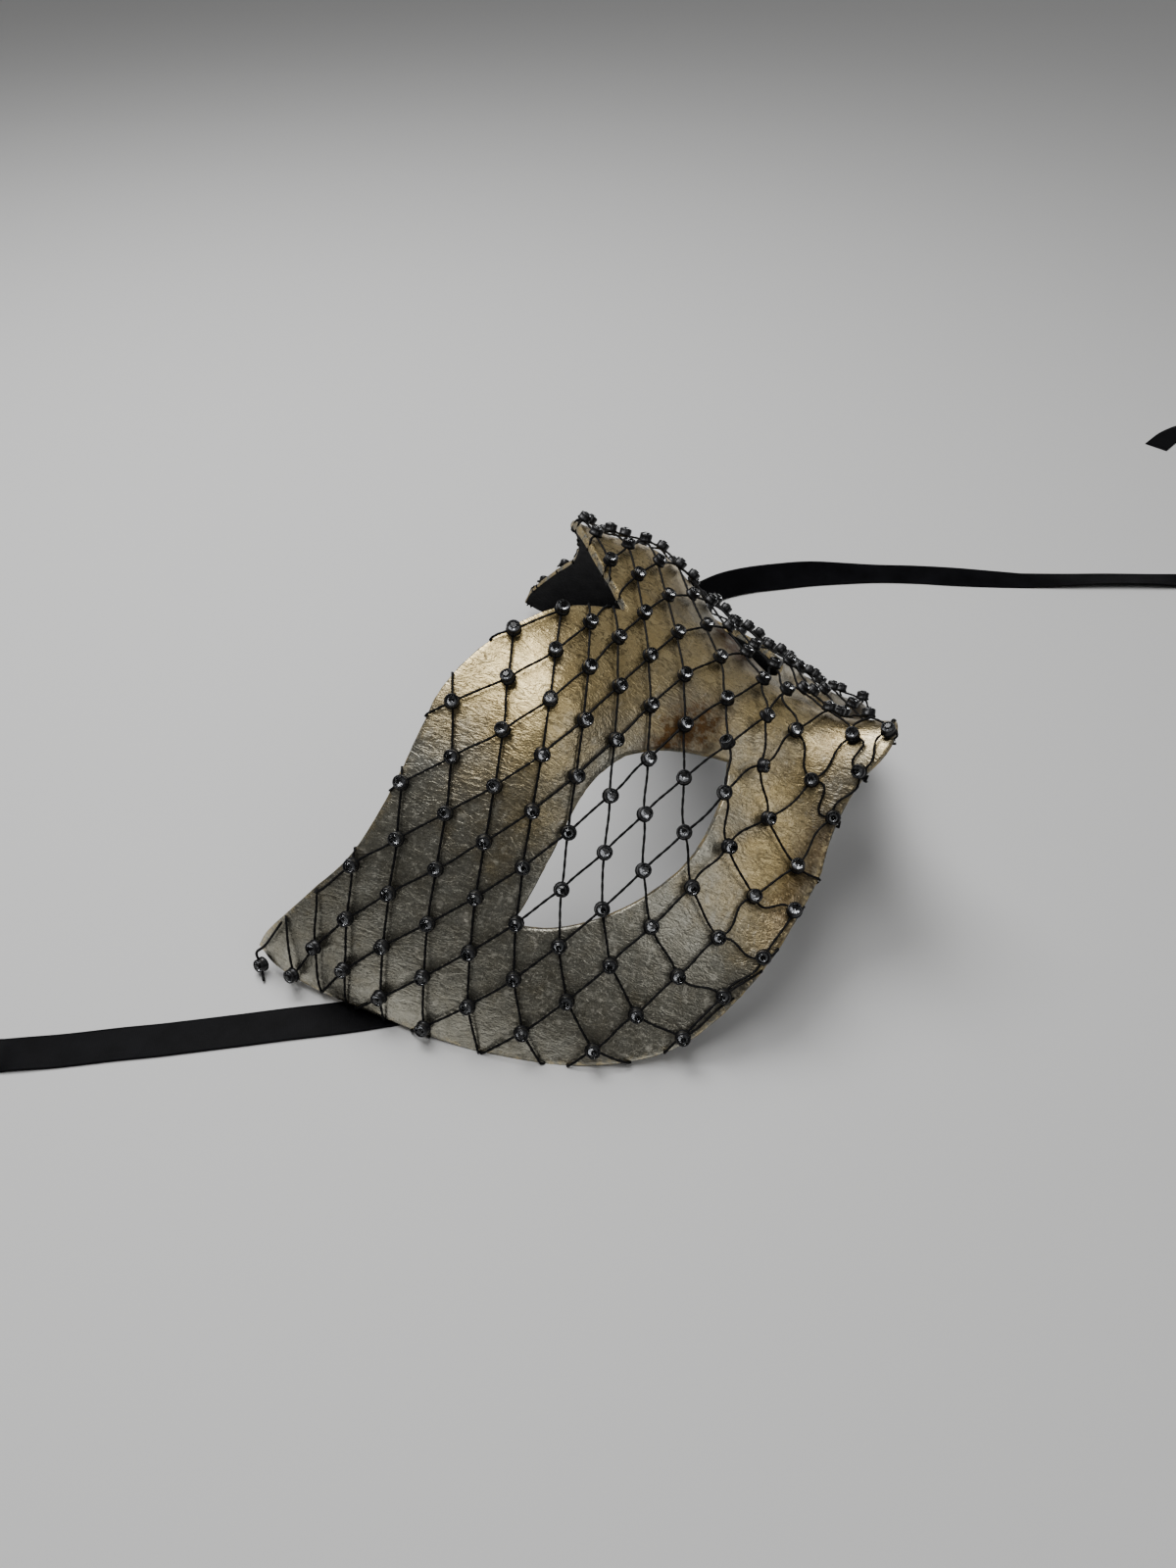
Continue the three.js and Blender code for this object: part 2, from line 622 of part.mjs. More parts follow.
function ribbonGeometry(route) {
  const path = new RibbonRoute(route);
  const section = new THREE.Shape(Array.from({ length: RIBBON_SECTION_SIDES }, (_, k) => {
    const turn = (2 * Math.PI * k) / RIBBON_SECTION_SIDES;
    return new THREE.Vector2((RIBBON_WIDTH / 2) * Math.cos(turn), (RIBBON_THICKNESS / 2) * Math.sin(turn));
  }));
  const steps = Math.ceil(path.getLength());
  return new THREE.ExtrudeGeometry(section, { steps, bevelEnabled: false, extrudePath: path });
}

function rollGeometry() {
  const ring = [
    [ROLL_OUTER, 0], [ROLL_OUTER, ROLL_HEIGHT], [ROLL_INNER, ROLL_HEIGHT], [ROLL_INNER, 0], [ROLL_OUTER, 0],
  ];
  const geometry = new THREE.LatheGeometry(ring.map(([x, y]) => new THREE.Vector2(x, y)), ROLL_SIDES);
  return geometry.rotateX(Math.PI / 2).translate(ROLL_CENTRE[0], ROLL_CENTRE[1], TABLE_GAP);
}

// The glued end of a ribbon, flat on the inner face of the temple.
function tabGeometry(side) {
  const [angle, y] = [side * degrees(TAB_PLACE[0]), TAB_PLACE[1]];
  const outer = wallPoint(angle, y, WALL);
  const inward = wallPoint(angle, y, WALL + 1).sub(outer);
  const along = new THREE.Vector3(-side * inward.y, side * inward.x, 0).normalize();
  if (along.y < 0) along.negate();
  const across = along.clone().cross(inward).normalize();
  const placed = new THREE.Matrix4().makeBasis(across, along, across.clone().cross(along))
    .setPosition(outer.addScaledVector(inward, TAB_DEPTH));
  return new THREE.BoxGeometry(RIBBON_WIDTH, TAB_LENGTH, TAB_THICKNESS).applyMatrix4(placed);
}

// Pieces and their materials

const silverLeaf = new THREE.MeshStandardMaterial({ color: '#8e8a76', metalness: 0.75, roughness: 0.42 });
const blackNet = new THREE.MeshStandardMaterial({ color: '#1d1d1f', metalness: 0.2, roughness: 0.3 });
const blackSatin = new THREE.MeshStandardMaterial({ color: '#0c0c0e', metalness: 0, roughness: 0.38 });

function shellOnTable() {
  return toGeometry(toSolid(shellGeometry()).trimByPlane([0, 0, 1], 0));
}

function wholeNet() {
  return toGeometry(toSolid(netGeometry()).add(toSolid(looseThread())).add(toSolid(looseCrystal())));
}

const venetianMask = new THREE.Group();
for (const [name, geometry, material] of [
  ['mask_shell', shellOnTable(), silverLeaf],
  ['crystal_net', wholeNet(), blackNet],
  ['ribbon_left_tab', tabGeometry(1), blackSatin],
  ['ribbon_left', ribbonGeometry(LEFT_ROUTE), blackSatin],
  ['ribbon_left_roll', rollGeometry(), blackSatin],
  ['ribbon_right_tab', tabGeometry(-1), blackSatin],
  ['ribbon_right', ribbonGeometry(RIGHT_ROUTE), blackSatin],
]) {
  const mesh = new THREE.Mesh(geometry, material);
  mesh.name = name;
  venetianMask.add(mesh);
}

export default venetianMask;
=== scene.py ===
"""A Venetian half mask lying face up: leafed papier-mache under a net of thread and crystals.

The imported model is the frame. The shell and the net with its cups and crystals are worked out in
millimetres, as a pattern is drawn, and are turned into metres where a mesh is made. The ribbons'
routes, the camera, the lights and the sizes in materials are in metres.
"""

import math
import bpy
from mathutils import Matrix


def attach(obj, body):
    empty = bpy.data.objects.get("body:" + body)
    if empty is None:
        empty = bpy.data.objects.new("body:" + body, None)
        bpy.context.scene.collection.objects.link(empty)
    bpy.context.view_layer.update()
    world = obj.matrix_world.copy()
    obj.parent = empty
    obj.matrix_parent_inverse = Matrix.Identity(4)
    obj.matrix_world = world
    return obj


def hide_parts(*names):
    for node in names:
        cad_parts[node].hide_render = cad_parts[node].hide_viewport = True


bl_info = {
    "name": "Venetian Half Mask",
    "version": (1, 0, 0),
    "blender": (4, 5, 0),
    "location": "3D View > Sidebar > Mask",
    "description": "Makes a leafed half mask with its crystal net, ribbons, floor and light",
    "category": "Add Mesh",
}

import bpy
import numpy as np
from mathutils import Matrix, Vector

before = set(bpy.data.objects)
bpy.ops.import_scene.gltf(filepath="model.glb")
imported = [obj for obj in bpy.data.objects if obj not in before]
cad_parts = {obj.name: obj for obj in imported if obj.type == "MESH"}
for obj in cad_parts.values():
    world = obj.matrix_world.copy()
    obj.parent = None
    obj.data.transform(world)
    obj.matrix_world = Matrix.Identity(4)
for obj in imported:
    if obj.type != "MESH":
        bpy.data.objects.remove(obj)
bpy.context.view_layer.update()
MM = 0.001

# Face form: the surface that the shell was moulded over, in the face's own frame
HALF_WIDTH = 93.5
HALF_WIDTH_SLOPE = 0.042
HALF_WIDTH_CURVE = -0.00113
FORM_DEPTH = 74.3
FRONT_FULLNESS = -0.274
FORM_LEAN = 0.321
FORM_BOW = 0.0011
FORM_CURL = -0.0000147
SIDE_LEAN = -0.195

# Nose ridge: height at the tip, bridge and forehead, the levels where one turns into the next, its
# half width at the bridge, and the share by which it is wider at the tip and at the brow
NOSE_TIP_HEIGHT = 37.2
NOSE_BRIDGE_HEIGHT = 6.5
NOSE_BROW_HEIGHT = 1.2
NOSE_TIP_LEVEL = -11
NOSE_TIP_BLEND = 8.8
NOSE_BROW_LEVEL = 33
NOSE_BROW_BLEND = 7.7
NOSE_HALF_WIDTH = 14.5
NOSE_WIDER_AT_TIP = 0.2
NOSE_WIDER_AT_BROW = 0.8

# Soft swellings: height, distance from the middle line, level, spread across, spread upward
BROW = (5, 35.2, 59.7, 22, 13.2)
CHEEK = (5.9, 46.2, -17.6, 19.8, 13.2)
NET_BRIDGE = (9.2, 23.1, 16, 14.7, 6.9)
BRIDGE_LOST_RIGHT = 0.65
BRIDGE_BLEND = 4

# Flat pattern of one half: degrees round the face from the middle line, millimetres up
TOP_EDGE = (
    (0, 57), (5.6, 67.5), (9.3, 72.8), (15.3, 78.8), (21.9, 83.8), (28.2, 86.6), (33.9, 86.8),
    (39.7, 87.1), (46.9, 88.3), (54.7, 91.2), (63, 97.4), (74.5, 105), (80.2, 106.8),
)
LOWER_EDGE = (
    (80.2, 106.8), (83, 100), (82.2, 89), (78, 71), (71.4, 45.5), (62.4, 21.8), (52.4, 4.4),
    (42.3, -4.2), (31.5, -9), (22, -11.4), (17.6, -12), (11.9, -10.8), (6.6, -11.4),
    (3.5, -13.9), (0, -14.5),
)
UPPER_LID = (
    (11.2, 18.8), (12.6, 24.3), (15.8, 33.8), (20.3, 41.3), (26.3, 45.8), (32.5, 47.1),
    (39, 47.5), (45.4, 48.4), (49.4, 49.6),
)
LOWER_LID = (
    (49.4, 49.6), (46.1, 39.9), (40.2, 29.8), (32.4, 21.2), (24.5, 16.7), (15.7, 16.6), (11.2, 18.8),
)
WALL = 2

# Steps of the fine shell: along the four stretches of its edge, from hole to edge, round the rim
MIDDLE_STEPS_UP = 18
TOP_STEPS = 92
LOWER_STEPS = 156
MIDDLE_STEPS_DOWN = 24
RADIAL_STEPS = 38
RIM_STEPS = 5
RIM_SWELL = 0.32

# Uneven paper: size of a lump, the number that lumps are drawn from, and their height; then the
# rim's own lumps, with their share of its swell, and the width of the gilt strip inside the edge
LUMPS = ((9.0, 3, 0.16), (3.2, 5, 0.06))
RIM_LUMP_SIZE = 1.7
RIM_LUMP_DRAW = 9
RIM_LUMP_SHARE = 0.5
RIM_WEAR_WIDTH = 1.6

# How the mask lies
RESTING_TILT = math.radians(13)
MASK_MIDDLE_LEVEL = 32.3
RIM_REST_LEVEL = 34.8

# Net: every strand is one mesh length between knots, so the knots follow from two threads
STRAND_LENGTH = 13.2
NET_LIFT = 2.3
THREAD_DROP = 0.95
FIRST_KNOT = (math.radians(32.2), 26.5)
ROW_THREAD = dict(heading=-101.9, turn=-0.33, bend=-1.62, sag=20.1, curl=-0.19, low=-7, high=5)
COLUMN_THREAD = dict(heading=127.2, turn=9.3, bend=4.05, sag=13.4, curl=0.49, low=-5, high=3.5)
SAG_START = 2
# Where the net was drawn along as it was stretched: place, spread and pull, degrees and millimetres
NET_PULLS = (((84, 98), (14, 12), (0, -4.6)), ((8, 80), (16, 13), (-0.4, -5.4)),
             ((-3, 2), (12, 13), (-1.6, -3.2)))
RIM_KNOTS = (
    # column and row, then degrees round and level: knots that the glued border holds at the rim
    ((-1, 3), (48.8, 2.2)), ((0, 3), (40.5, -2.3)), ((1, 3), (33, -7)), ((2, 3), (25.2, -9.3)),
    ((4, 2), (11.1, -9.4)), ((5, 2), (6, -10.2)), ((-1, -9), (-20.2, 81.3)), ((1, -10), (-40.6, 85.9)),
    ((2, -11), (-54.5, 89.7)), ((2, -12), (-62.2, 95.4)), ((2, -13), (-72.5, 102.3)),
    ((3, -13), (-78.4, 105.1)),
)
ROWS_EACH_WAY = (5, 23)
COLUMNS_EACH_WAY = (17, 13)
EDGE_INSET = 1.2
SHORTEST_PART = 0.12
STRAND_STEPS = 12
LAST_KNOT = (-9, -4)
LOOSE_THREAD = ((-84.9, 64.5, 9.6), (-85.9, 67.2, 6.4), (-86.4, 66.4, 2.6), (-89.3, 64.1, 0.6))
LOOSE_THREAD_WIDER = 1.35
LOOSE_CRYSTAL = (-86.4, 66.4, 2.6)
LOOSE_CUP_AXIS = (-0.86, 0.2, 0.35)

# How strands stray sideways: how far where taut and how much further where slack, the shares that
# go to bow and wave, the share of spare length that the wave takes up, and the most of it
TAUT_STRAY = 0.1
SLACK_STRAY = 0.7
BOW_SHARE = 0.8
WAVE_SHARE = 0.7
SPARE_SHARE = 0.85
MOST_SPARE = 0.3

# Twisted thread: length of a turn, sides of a ply, and the gap that it keeps over the table
TURN_LENGTH = 5.2
PLY_SIDES = 5
THREAD_GAP = 0.05

# Hooks over the rim: lift off the edge, reach past it, gap and sag inside, share of the way back
HOOK_LIFT = 0.45
HOOK_REACH = 0.75
HOOK_GAP = 0.35
HOOK_SAG = 0.1
HOOK_BACK = 0.2

# Cup and crystal: how far cups stand askew, then radius and height above the net's knot
CUP_ASKEW = 0.10
CUP_SIDES = 14
CUP_WRAP = ((0.5, -1.15), (1.55, -1.12), (1.92, -0.85), (1.9, -0.55))
CUP_WALL = ((1.7, -0.42), (1.75, 0.7), (1.68, 1.05), (1.48, 1.17), (1.34, 1.09), (1.32, 0.78))
CUP_FOIL = ((0.72, 0.25), (0.06, -0.15))
CRYSTAL_TABLE = (0.7, 1.55)
CRYSTAL_GIRDLE = ((1.29, 0.93), (1.29, 0.85))
CRYSTAL_POINT = (0.0, 0.0)

# Ribbon: gap under it, least height of a point, thickness, points across, where its woven edge
# starts, and the shares of the thickness above and below the middle of edge and body
TABLE_GAP = 0.0001
LEAST_HEIGHT = 0.00002
RIBBON_THICKNESS = 0.0004
RIBBON_POINTS = 17
WOVEN_EDGE = 0.93
EDGE_HALF = 0.5
BODY_HALF = 0.36

# Satin: distance between ribs, between floats and along a float, its paler black in patches, a
# painted sheen, and the paler black of its edge, a painted highlight
RIB_SPACING = 0.00042
FLOAT_SPACING = 0.00022
FLOAT_LENGTH = 0.0011
# Painted sheen: the paler black of the satin's patches; painted highlight: the paler black along its edge
SATIN_PAINTED_SHEEN = (0.005, 0.005, 0.0065)
SATIN_EDGE_HIGHLIGHT = (0.008, 0.008, 0.009)

# Ripples of the satin: height, depth, then the share, radians a metre and start of each wave
RIPPLE_HEIGHT = 0.00006
RIPPLE_DEPTH = 0.00004
RIPPLES = ((1, 95, 1.3), (0.6, 211, 0))
RIPPLE_ACROSS = 2.2

# Ribbon routes: x, y, z of the middle, and the lean of the width from flat in degrees
LEFT_ROUTE = (
    (-0.0826, 0.0073, 0.0058, 59), (-0.0823, 0.0115, 0.0056, 60), (-0.0814, 0.0165, 0.0047, 55),
    (-0.0812, 0.021, 0, 32), (-0.0827, 0.026, 0, 8), (-0.0858, 0.031, 0, 0), (-0.089, 0.036, 0, 0),
    (-0.0932, 0.043, 0, 0), (-0.0975, 0.0505, 0, 0), (-0.1033, 0.0603, 0, 0),
    (-0.1091, 0.0702, 0, 0), (-0.1137, 0.0781, 0, 0), (-0.118, 0.086, 0, 0),
    (-0.1247, 0.0977, 0, 0), (-0.131, 0.1098, 0, 0), (-0.1373, 0.121, 0, 25),
    (-0.1426, 0.1306, 0, 65), (-0.1459, 0.1364, 0, 90),
)
RIGHT_ROUTE = (
    (0.0826, 0.0073, 0.0058, -59), (0.0822, 0.0115, 0.0056, -61), (0.0805, 0.017, 0.0052, -64),
    (0.0774, 0.0225, 0.0048, -66), (0.0746, 0.028, 0.0045, -60), (0.0748, 0.0333, 0, -36),
    (0.0784, 0.0354, 0, -10), (0.0824, 0.0339, 0, 0), (0.086, 0.031, 0, 0),
    (0.0898, 0.0277, 0, -2), (0.0948, 0.0236, 0, -10), (0.1015, 0.0192, 0, -26),
    (0.1083, 0.0152, 0, -44), (0.115, 0.0114, 0, -54), (0.1215, 0.007, 0, -57),
    (0.1285, -0.0004, 0, -56), (0.136, -0.0106, 0, -49), (0.1428, -0.02, 0, -37),
    (0.149, -0.0303, 0, -22), (0.1546, -0.0412, 0, -11), (0.1596, -0.055, 0, -10),
    (0.1639, -0.07, 0, -10), (0.1693, -0.086, 0, -4), (0.1763, -0.1045, 0, 6),
    (0.184, -0.1235, 0, 11), (0.1922, -0.1446, 0, 6), (0.2, -0.164, 0, -28),
    (0.2105, -0.1815, 0, -66), (0.228, -0.196, 0, -90), (0.251, -0.204, 0, -90),
    (0.276, -0.206, 0, -90), (0.301, -0.2005, 0, -90), (0.322, -0.187, 0, -90),
    (0.3335, -0.168, 0, -68), (0.331, -0.152, 0, -30), (0.319, -0.142, 0, -3),
    (0.304, -0.1355, 0, 0),
)
ROUTE_STEPS = 10

# Put-away length of the left ribbon: middle, outer radius, start, turns, gap between turns, points
ROLL_CENTRE = (-0.1748, 0.1282)
ROLL_RADIUS = 0.029
ROLL_START = math.radians(30.3)
ROLL_TURNS = 2.35
ROLL_PITCH = 0.004
ROLL_POINTS = 40

# Glued ends: degrees round and level, length in metres, then depth inside the wall, half thickness
# in millimetres, and the share of the length by which the cut end frays
TAB_PLACE = (63, 40)
TAB_LENGTH = 0.014
TAB_DEPTH = 0.95
TAB_HALF_THICKNESS = 0.15
TAB_FRAY = 0.012

# Camera: where the photograph was taken from, and how it was held
CAMERA_PLACE = (-0.23076, -0.07639, 0.23519)
CAMERA_RIGHT = (0.3637, -0.9314, 0.0070)
CAMERA_DOWN = (-0.6269, -0.2502, -0.7379)
CAMERA_FORWARD = (0.6890, 0.2640, -0.6749)
CAMERA_LENS = 26.893
SENSOR_WIDTH = 36

# Light: size and place of the two soft lights, the point they face, and the room's glows, each
# with the direction it comes from and its strength at steps from behind (0) to straight on (1)
OVERHEAD_SIZE, OVERHEAD_PLACE = 0.36, (-0.13, 0.09, 0.77)
WINDOW_SIZE, WINDOW_PLACE = 0.42, (0.2, 0.35, 0.69)
LIGHT_TARGET = (0, 0, 0.02)
ROOM_GLOWS = (
    ((-0.17, 0.12, 0.978), ((0.4, 0.03), (0.72, 0.055), (0.86, 0.075), (0.95, 0.16), (1.0, 0.4))),
    ((-0.26, -0.67, 0.695), ((0.95, 0.0), (0.975, 0.3), (0.99, 1.0), (1.0, 1.3))),
    ((0.82, -0.32, 0.47), ((0.8, 0.0), (0.93, 0.08), (1.0, 0.22))),
)

# Floor: half its width, and its points along a side
FLOOR_HALF = 4
FLOOR_POINTS = 9


# Face form

def swelling(form, x, y):
    """height * exp(-((x - across) / spread across)^2 - ((y - level) / spread up)^2)."""
    height, across, level, spread_across, spread_up = form
    return height * np.exp(-((x - across) / spread_across) ** 2 - ((y - level) / spread_up) ** 2)


def face_form(angle, level, lift=0.0, bridged=False):
    """The face at an angle round it and a level up it, moved out by a lift.

    Across is the half width times the sine of the angle, and depth is the form's depth times its
    cosine, flattened in front, plus a lean and bow with the level. The nose is a bell across the
    middle line whose height and width blend from tip to bridge to brow. Brow and cheek are soft
    swellings. Bridged adds the net's own swelling at the inner eye, most of it lost on the right.
    """
    angle, level = np.broadcast_arrays(np.asarray(angle, float), np.asarray(level, float))
    sine, cosine = np.sin(angle), np.cos(angle)
    across = (HALF_WIDTH + HALF_WIDTH_SLOPE * level + HALF_WIDTH_CURVE * level ** 2) * sine
    side = np.abs(across)
    tip = 1 / (1 + np.exp(-(NOSE_TIP_LEVEL - level) / NOSE_TIP_BLEND))
    brow = 1 / (1 + np.exp(-(level - NOSE_BROW_LEVEL) / NOSE_BROW_BLEND))
    ridge = NOSE_TIP_HEIGHT * tip + NOSE_BROW_HEIGHT * brow + NOSE_BRIDGE_HEIGHT * (1 - tip - brow)
    width = NOSE_HALF_WIDTH * (1 + NOSE_WIDER_AT_TIP * tip + NOSE_WIDER_AT_BROW * brow)
    height = ridge * np.exp(-(across / width) ** 2) + lift
    height = height + swelling(BROW, side, level) + swelling(CHEEK, side, level)
    if bridged:
        height = height + swelling(NET_BRIDGE, side, level) * (
            1 - BRIDGE_LOST_RIGHT / (1 + np.exp(across / BRIDGE_BLEND)))
    depth = (FORM_DEPTH * cosine * (1 + FRONT_FULLNESS * sine ** 2)
             + FORM_LEAN * level + FORM_BOW * level ** 2 + FORM_CURL * level ** 3
             + SIDE_LEAN * level * sine ** 2)
    return np.stack([-(across + height * sine), level + 0 * height, depth + height * cosine], -1)


def on_table(points):
    """Face frame to table: tipped back by the resting tilt, then moved to the origin."""
    x, y, z = np.moveaxis(np.asarray(points, float), -1, 0)
    c, s = math.cos(RESTING_TILT), math.sin(RESTING_TILT)
    return np.stack([x, y * c - z * s - MASK_MIDDLE_LEVEL, y * s + z * c - RIM_REST_LEVEL], -1)


def unit(vectors):
    """Each vector divided by its length."""
    return vectors / np.maximum(np.linalg.norm(vectors, axis=-1, keepdims=True), 1e-12)


def outward_normal(angle, level, **form):
    """Unit normal: the step up the face crossed with the step round it, both small."""
    step = 0.001
    angle, level = np.broadcast_arrays(np.asarray(angle, float), np.asarray(level, float))
    around = face_form(angle + step, level, **form) - face_form(angle - step, level, **form)
    up = face_form(angle, level + 1, **form) - face_form(angle, level - 1, **form)
    normal = np.cross(up, around)
    normal[..., 0] = np.where(np.abs(angle) < step / 2, 0, normal[..., 0])
    return unit(normal)


def turned(vectors):
    """A direction in the face frame, turned to the table."""
    return on_table(vectors) - on_table(np.zeros(3))


def lump_noise(points, cell, seed):
    """Smooth noise from -1 to 1: random values on a lattice of the cell size, blended between."""
    where = np.asarray(points, float) / cell
    base = np.floor(where).astype(np.int64)
    part = where - base
    part = part * part * (3 - 2 * part)
    total = 0
    for corner in np.ndindex(2, 2, 2):
        x, y, z = np.moveaxis(base + np.array(corner), -1, 0)
        drawn = x * 73856093 ^ y * 19349663 ^ z * 83492791 ^ seed * 2654435761
        drawn = (drawn ^ (drawn >> 13)) * 1274126177 & 0x7FFFFFFF
        value = ((drawn ^ (drawn >> 16)) & 0xFFFF) / 32767.5 - 1
        weight = np.prod(np.where(np.array(corner) == 1, part, 1 - part), axis=-1)
        total = total + value * weight
    return total


# Flat pattern

def smooth_line(points, steps=12):
    """A uniform Catmull-Rom line through the points, with steps per stretch."""
    p = np.asarray(points, float)
    p = np.vstack([2 * p[0] - p[1], p, 2 * p[-1] - p[-2]])
    t = np.linspace(0, 1, steps, endpoint=False)[None, :, None]
    a, b, c, d = (p[k:len(p) - 3 + k, None, :] for k in range(4))
    line = b + 0.5 * t * (c - a + t * (2 * a - 5 * b + 4 * c - d + t * (3 * (b - c) + d - a)))
    return np.vstack([line.reshape(-1, p.shape[1]), p[-2]])


def even_steps(line, count):
    """The same line in even steps, lengths taken on the pattern laid flat."""
    line = np.asarray(line, float)
    flat = line * [math.radians(1) * HALF_WIDTH, 1]
    along = np.concatenate([[0], np.cumsum(np.linalg.norm(np.diff(flat, axis=0), axis=1))])
    wanted = np.linspace(0, along[-1], count + 1)
    return np.stack([np.interp(wanted, along, line[:, k]) for k in (0, 1)], -1)


def half_pattern():
    """Matching points of the eye hole and the edge, all the way round one half."""
    corner = (0, UPPER_LID[0][1])
    edge = np.vstack([
        even_steps([corner, TOP_EDGE[0]], MIDDLE_STEPS_UP)[:-1],
        even_steps(smooth_line(TOP_EDGE), TOP_STEPS)[:-1],
        even_steps(smooth_line(LOWER_EDGE), LOWER_STEPS)[:-1],
        even_steps([LOWER_EDGE[-1], corner], MIDDLE_STEPS_DOWN)[:-1],
    ])
    hole = np.vstack([
        even_steps(smooth_line(UPPER_LID), MIDDLE_STEPS_UP + TOP_STEPS)[:-1],
        even_steps(smooth_line(LOWER_LID), LOWER_STEPS + MIDDLE_STEPS_DOWN)[:-1],
    ])
    return hole, edge


# Mesh building

def grid_faces(rows, columns, close_rows=False, close_columns=False):
    """Quads of a grid whose point (r, c) is number r * columns + c."""
    r = np.arange(rows if close_rows else rows - 1)[:, None]
    c = np.arange(columns if close_columns else columns - 1)[None, :]
    r2, c2 = (r + 1) % rows, (c + 1) % columns
    quads = [r * columns + c, r * columns + c2, r2 * columns + c2, r2 * columns + c]
    return np.stack(np.broadcast_arrays(*quads), -1).reshape(-1, 4)


def ring_faces(pieces, rings, sides):
    """Walls and both end caps of pieces made of rings of points, one piece after another."""
    first = (np.arange(pieces) * rings * sides)[:, None, None]
    walls = (grid_faces(rings, sides, close_columns=True)[None] + first).reshape(-1, 4)
    cap = np.arange(sides)[None, :]
    return [walls, cap[:, ::-1] + first[:, 0], cap + first[:, 0] + (rings - 1) * sides]


def new_piece(name, points, faces, materials, face_slots=None, smooth=True, uv=None):
    """A mesh object from points in metres, riding on the frame, under the name it is given."""
    mesh = bpy.data.meshes.new(name)
    faces = [np.asarray(block) for block in (faces if isinstance(faces, list) else [faces])]
    counts = np.concatenate([np.full(len(block), block.shape[1]) for block in faces])
    corners = np.concatenate([block.ravel() for block in faces]).astype(np.int32)
    mesh.vertices.add(len(points))
    mesh.vertices.foreach_set("co", np.asarray(points, np.float32).ravel())
    mesh.loops.add(len(corners))
    mesh.loops.foreach_set("vertex_index", corners)
    mesh.polygons.add(len(counts))
    starts = np.cumsum(counts) - counts
    mesh.polygons.foreach_set("loop_start", starts.astype(np.int32))
    mesh.polygons.foreach_set("loop_total", counts.astype(np.int32))
    if face_slots is not None:
        mesh.polygons.foreach_set("material_index", np.asarray(face_slots, np.int32))
    mesh.update(calc_edges=True)
    mesh.validate()
    mesh.polygons.foreach_set("use_smooth", np.full(len(mesh.polygons), smooth))
    if uv is not None:
        layer = mesh.uv_layers.new(name="along")
        layer.data.foreach_set("uv", np.asarray(uv, np.float32)[corners].ravel())
    for material in materials:
        mesh.materials.append(material)
    piece = bpy.data.objects.new(name, mesh)
    bpy.context.scene.collection.objects.link(piece)
    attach(piece, "root")
    return piece


def point_attribute(piece, name, values):
    """A number for every point of the piece, which its material reads by name."""
    layer = piece.data.attributes.new(name, "FLOAT", "POINT")
    layer.data.foreach_set("value", np.asarray(values, np.float32).ravel())


def tube(centres, across, upward, radius, sides):
    """Closed tubes: point = centre + radius * (cos a * across + sin a * upward), ends capped.

    Centres, across and upward are arrays of tubes by steps by 3. Returns points and face blocks.
    """
    tubes, steps = centres.shape[:2]
    a = np.linspace(0, 2 * math.pi, sides, endpoint=False)
    radius = np.broadcast_to(radius, (tubes, steps))[..., None, None]
    ring = (np.cos(a)[:, None] * across[:, :, None] + np.sin(a)[:, None] * upward[:, :, None]) * radius
    return (centres[:, :, None] + ring).reshape(-1, 3), ring_faces(tubes, steps, sides)


def shifted(blocks, by):
    """The same faces for points that come later in the list."""
    return [block + by for block in blocks]


# Node helpers

def feed(tree, socket, value):
    """Link another node's output to the socket, or set it to a plain number, colour or vector."""
    if isinstance(value, bpy.types.NodeSocket):
        tree.links.new(value, socket)
    else:
        socket.default_value = (*value, 1) if socket.type == "RGBA" else value


def fed(tree, made, **values):
    """The node, once its properties or inputs are set by name to values or other nodes' outputs."""
    for name, value in values.items():
        if hasattr(made, name):
            setattr(made, name, value)
        else:
            feed(tree, made.inputs[name.replace("_", " ")], value)
    return made


def node(tree, kind, **values):
    """A new shader node, set out in rows of ten to the left of the shader."""
    made = tree.nodes.new(kind)
    row, column = divmod(len(tree.nodes), 10)
    made.location = (column * 220 - 2400, -row * 320)
    return fed(tree, made, **values)


def ramp(tree, source, *stops):
    """A colour ramp fed by a value: each stop is a place, and a colour or one number for a grey."""
    made = node(tree, "ShaderNodeValToRGB", Fac=source)
    elements = made.color_ramp.elements
    while len(elements) < len(stops):
        elements.new(1.0)
    for element, (where, colour) in zip(elements, stops):
        element.position = where
        element.color = (*colour, 1) if isinstance(colour, tuple) else (colour,) * 3 + (1,)
    return made.outputs["Color"]


def mixed(tree, factor, first, second, blend="MIX"):
    """Two colours mixed by a factor; each of the three may be another node's output."""
    made = node(tree, "ShaderNodeMix", data_type="RGBA", blend_type=blend)
    for number, value in ((0, factor), (6, first), (7, second)):
        feed(tree, made.inputs[number], value)
    return made.outputs[2]


def maths(tree, operation, *values):
    """One sum on numbers or other nodes' outputs."""
    made = node(tree, "ShaderNodeMath", operation=operation)
    for socket, value in zip(made.inputs, values):
        feed(tree, socket, value)
    return made.outputs[0]


def times(tree, first, second):
    """The product of two values."""
    return maths(tree, "MULTIPLY", first, second)


def scaled(tree, value, gain, base):
    """The value times the gain, plus the base."""
    return maths(tree, "MULTIPLY_ADD", value, gain, base)


def larger(tree, first, second):
    """The larger of two values."""
    return maths(tree, "MAXIMUM", first, second)


def stretched(tree, value, low, high):
    """The value stretched so that low becomes 0 and high becomes 1, and cut off there."""
    return node(tree, "ShaderNodeMapRange", Value=value, From_Min=low, From_Max=high).outputs["Result"]


def noise(tree, places, finer, size, **values):
    """Noise read at the places, with finer / size cells to a metre and other values by name."""
    scale = maths(tree, "DIVIDE", finer, size)
    return node(tree, "ShaderNodeTexNoise", Vector=places, Scale=scale, **values).outputs["Fac"]


def bumped(tree, height, strength, distance):
    """The normal of a surface that the height raises by the distance."""
    made = node(tree, "ShaderNodeBump", Height=height, Strength=strength, Distance=distance)
    return made.outputs["Normal"]


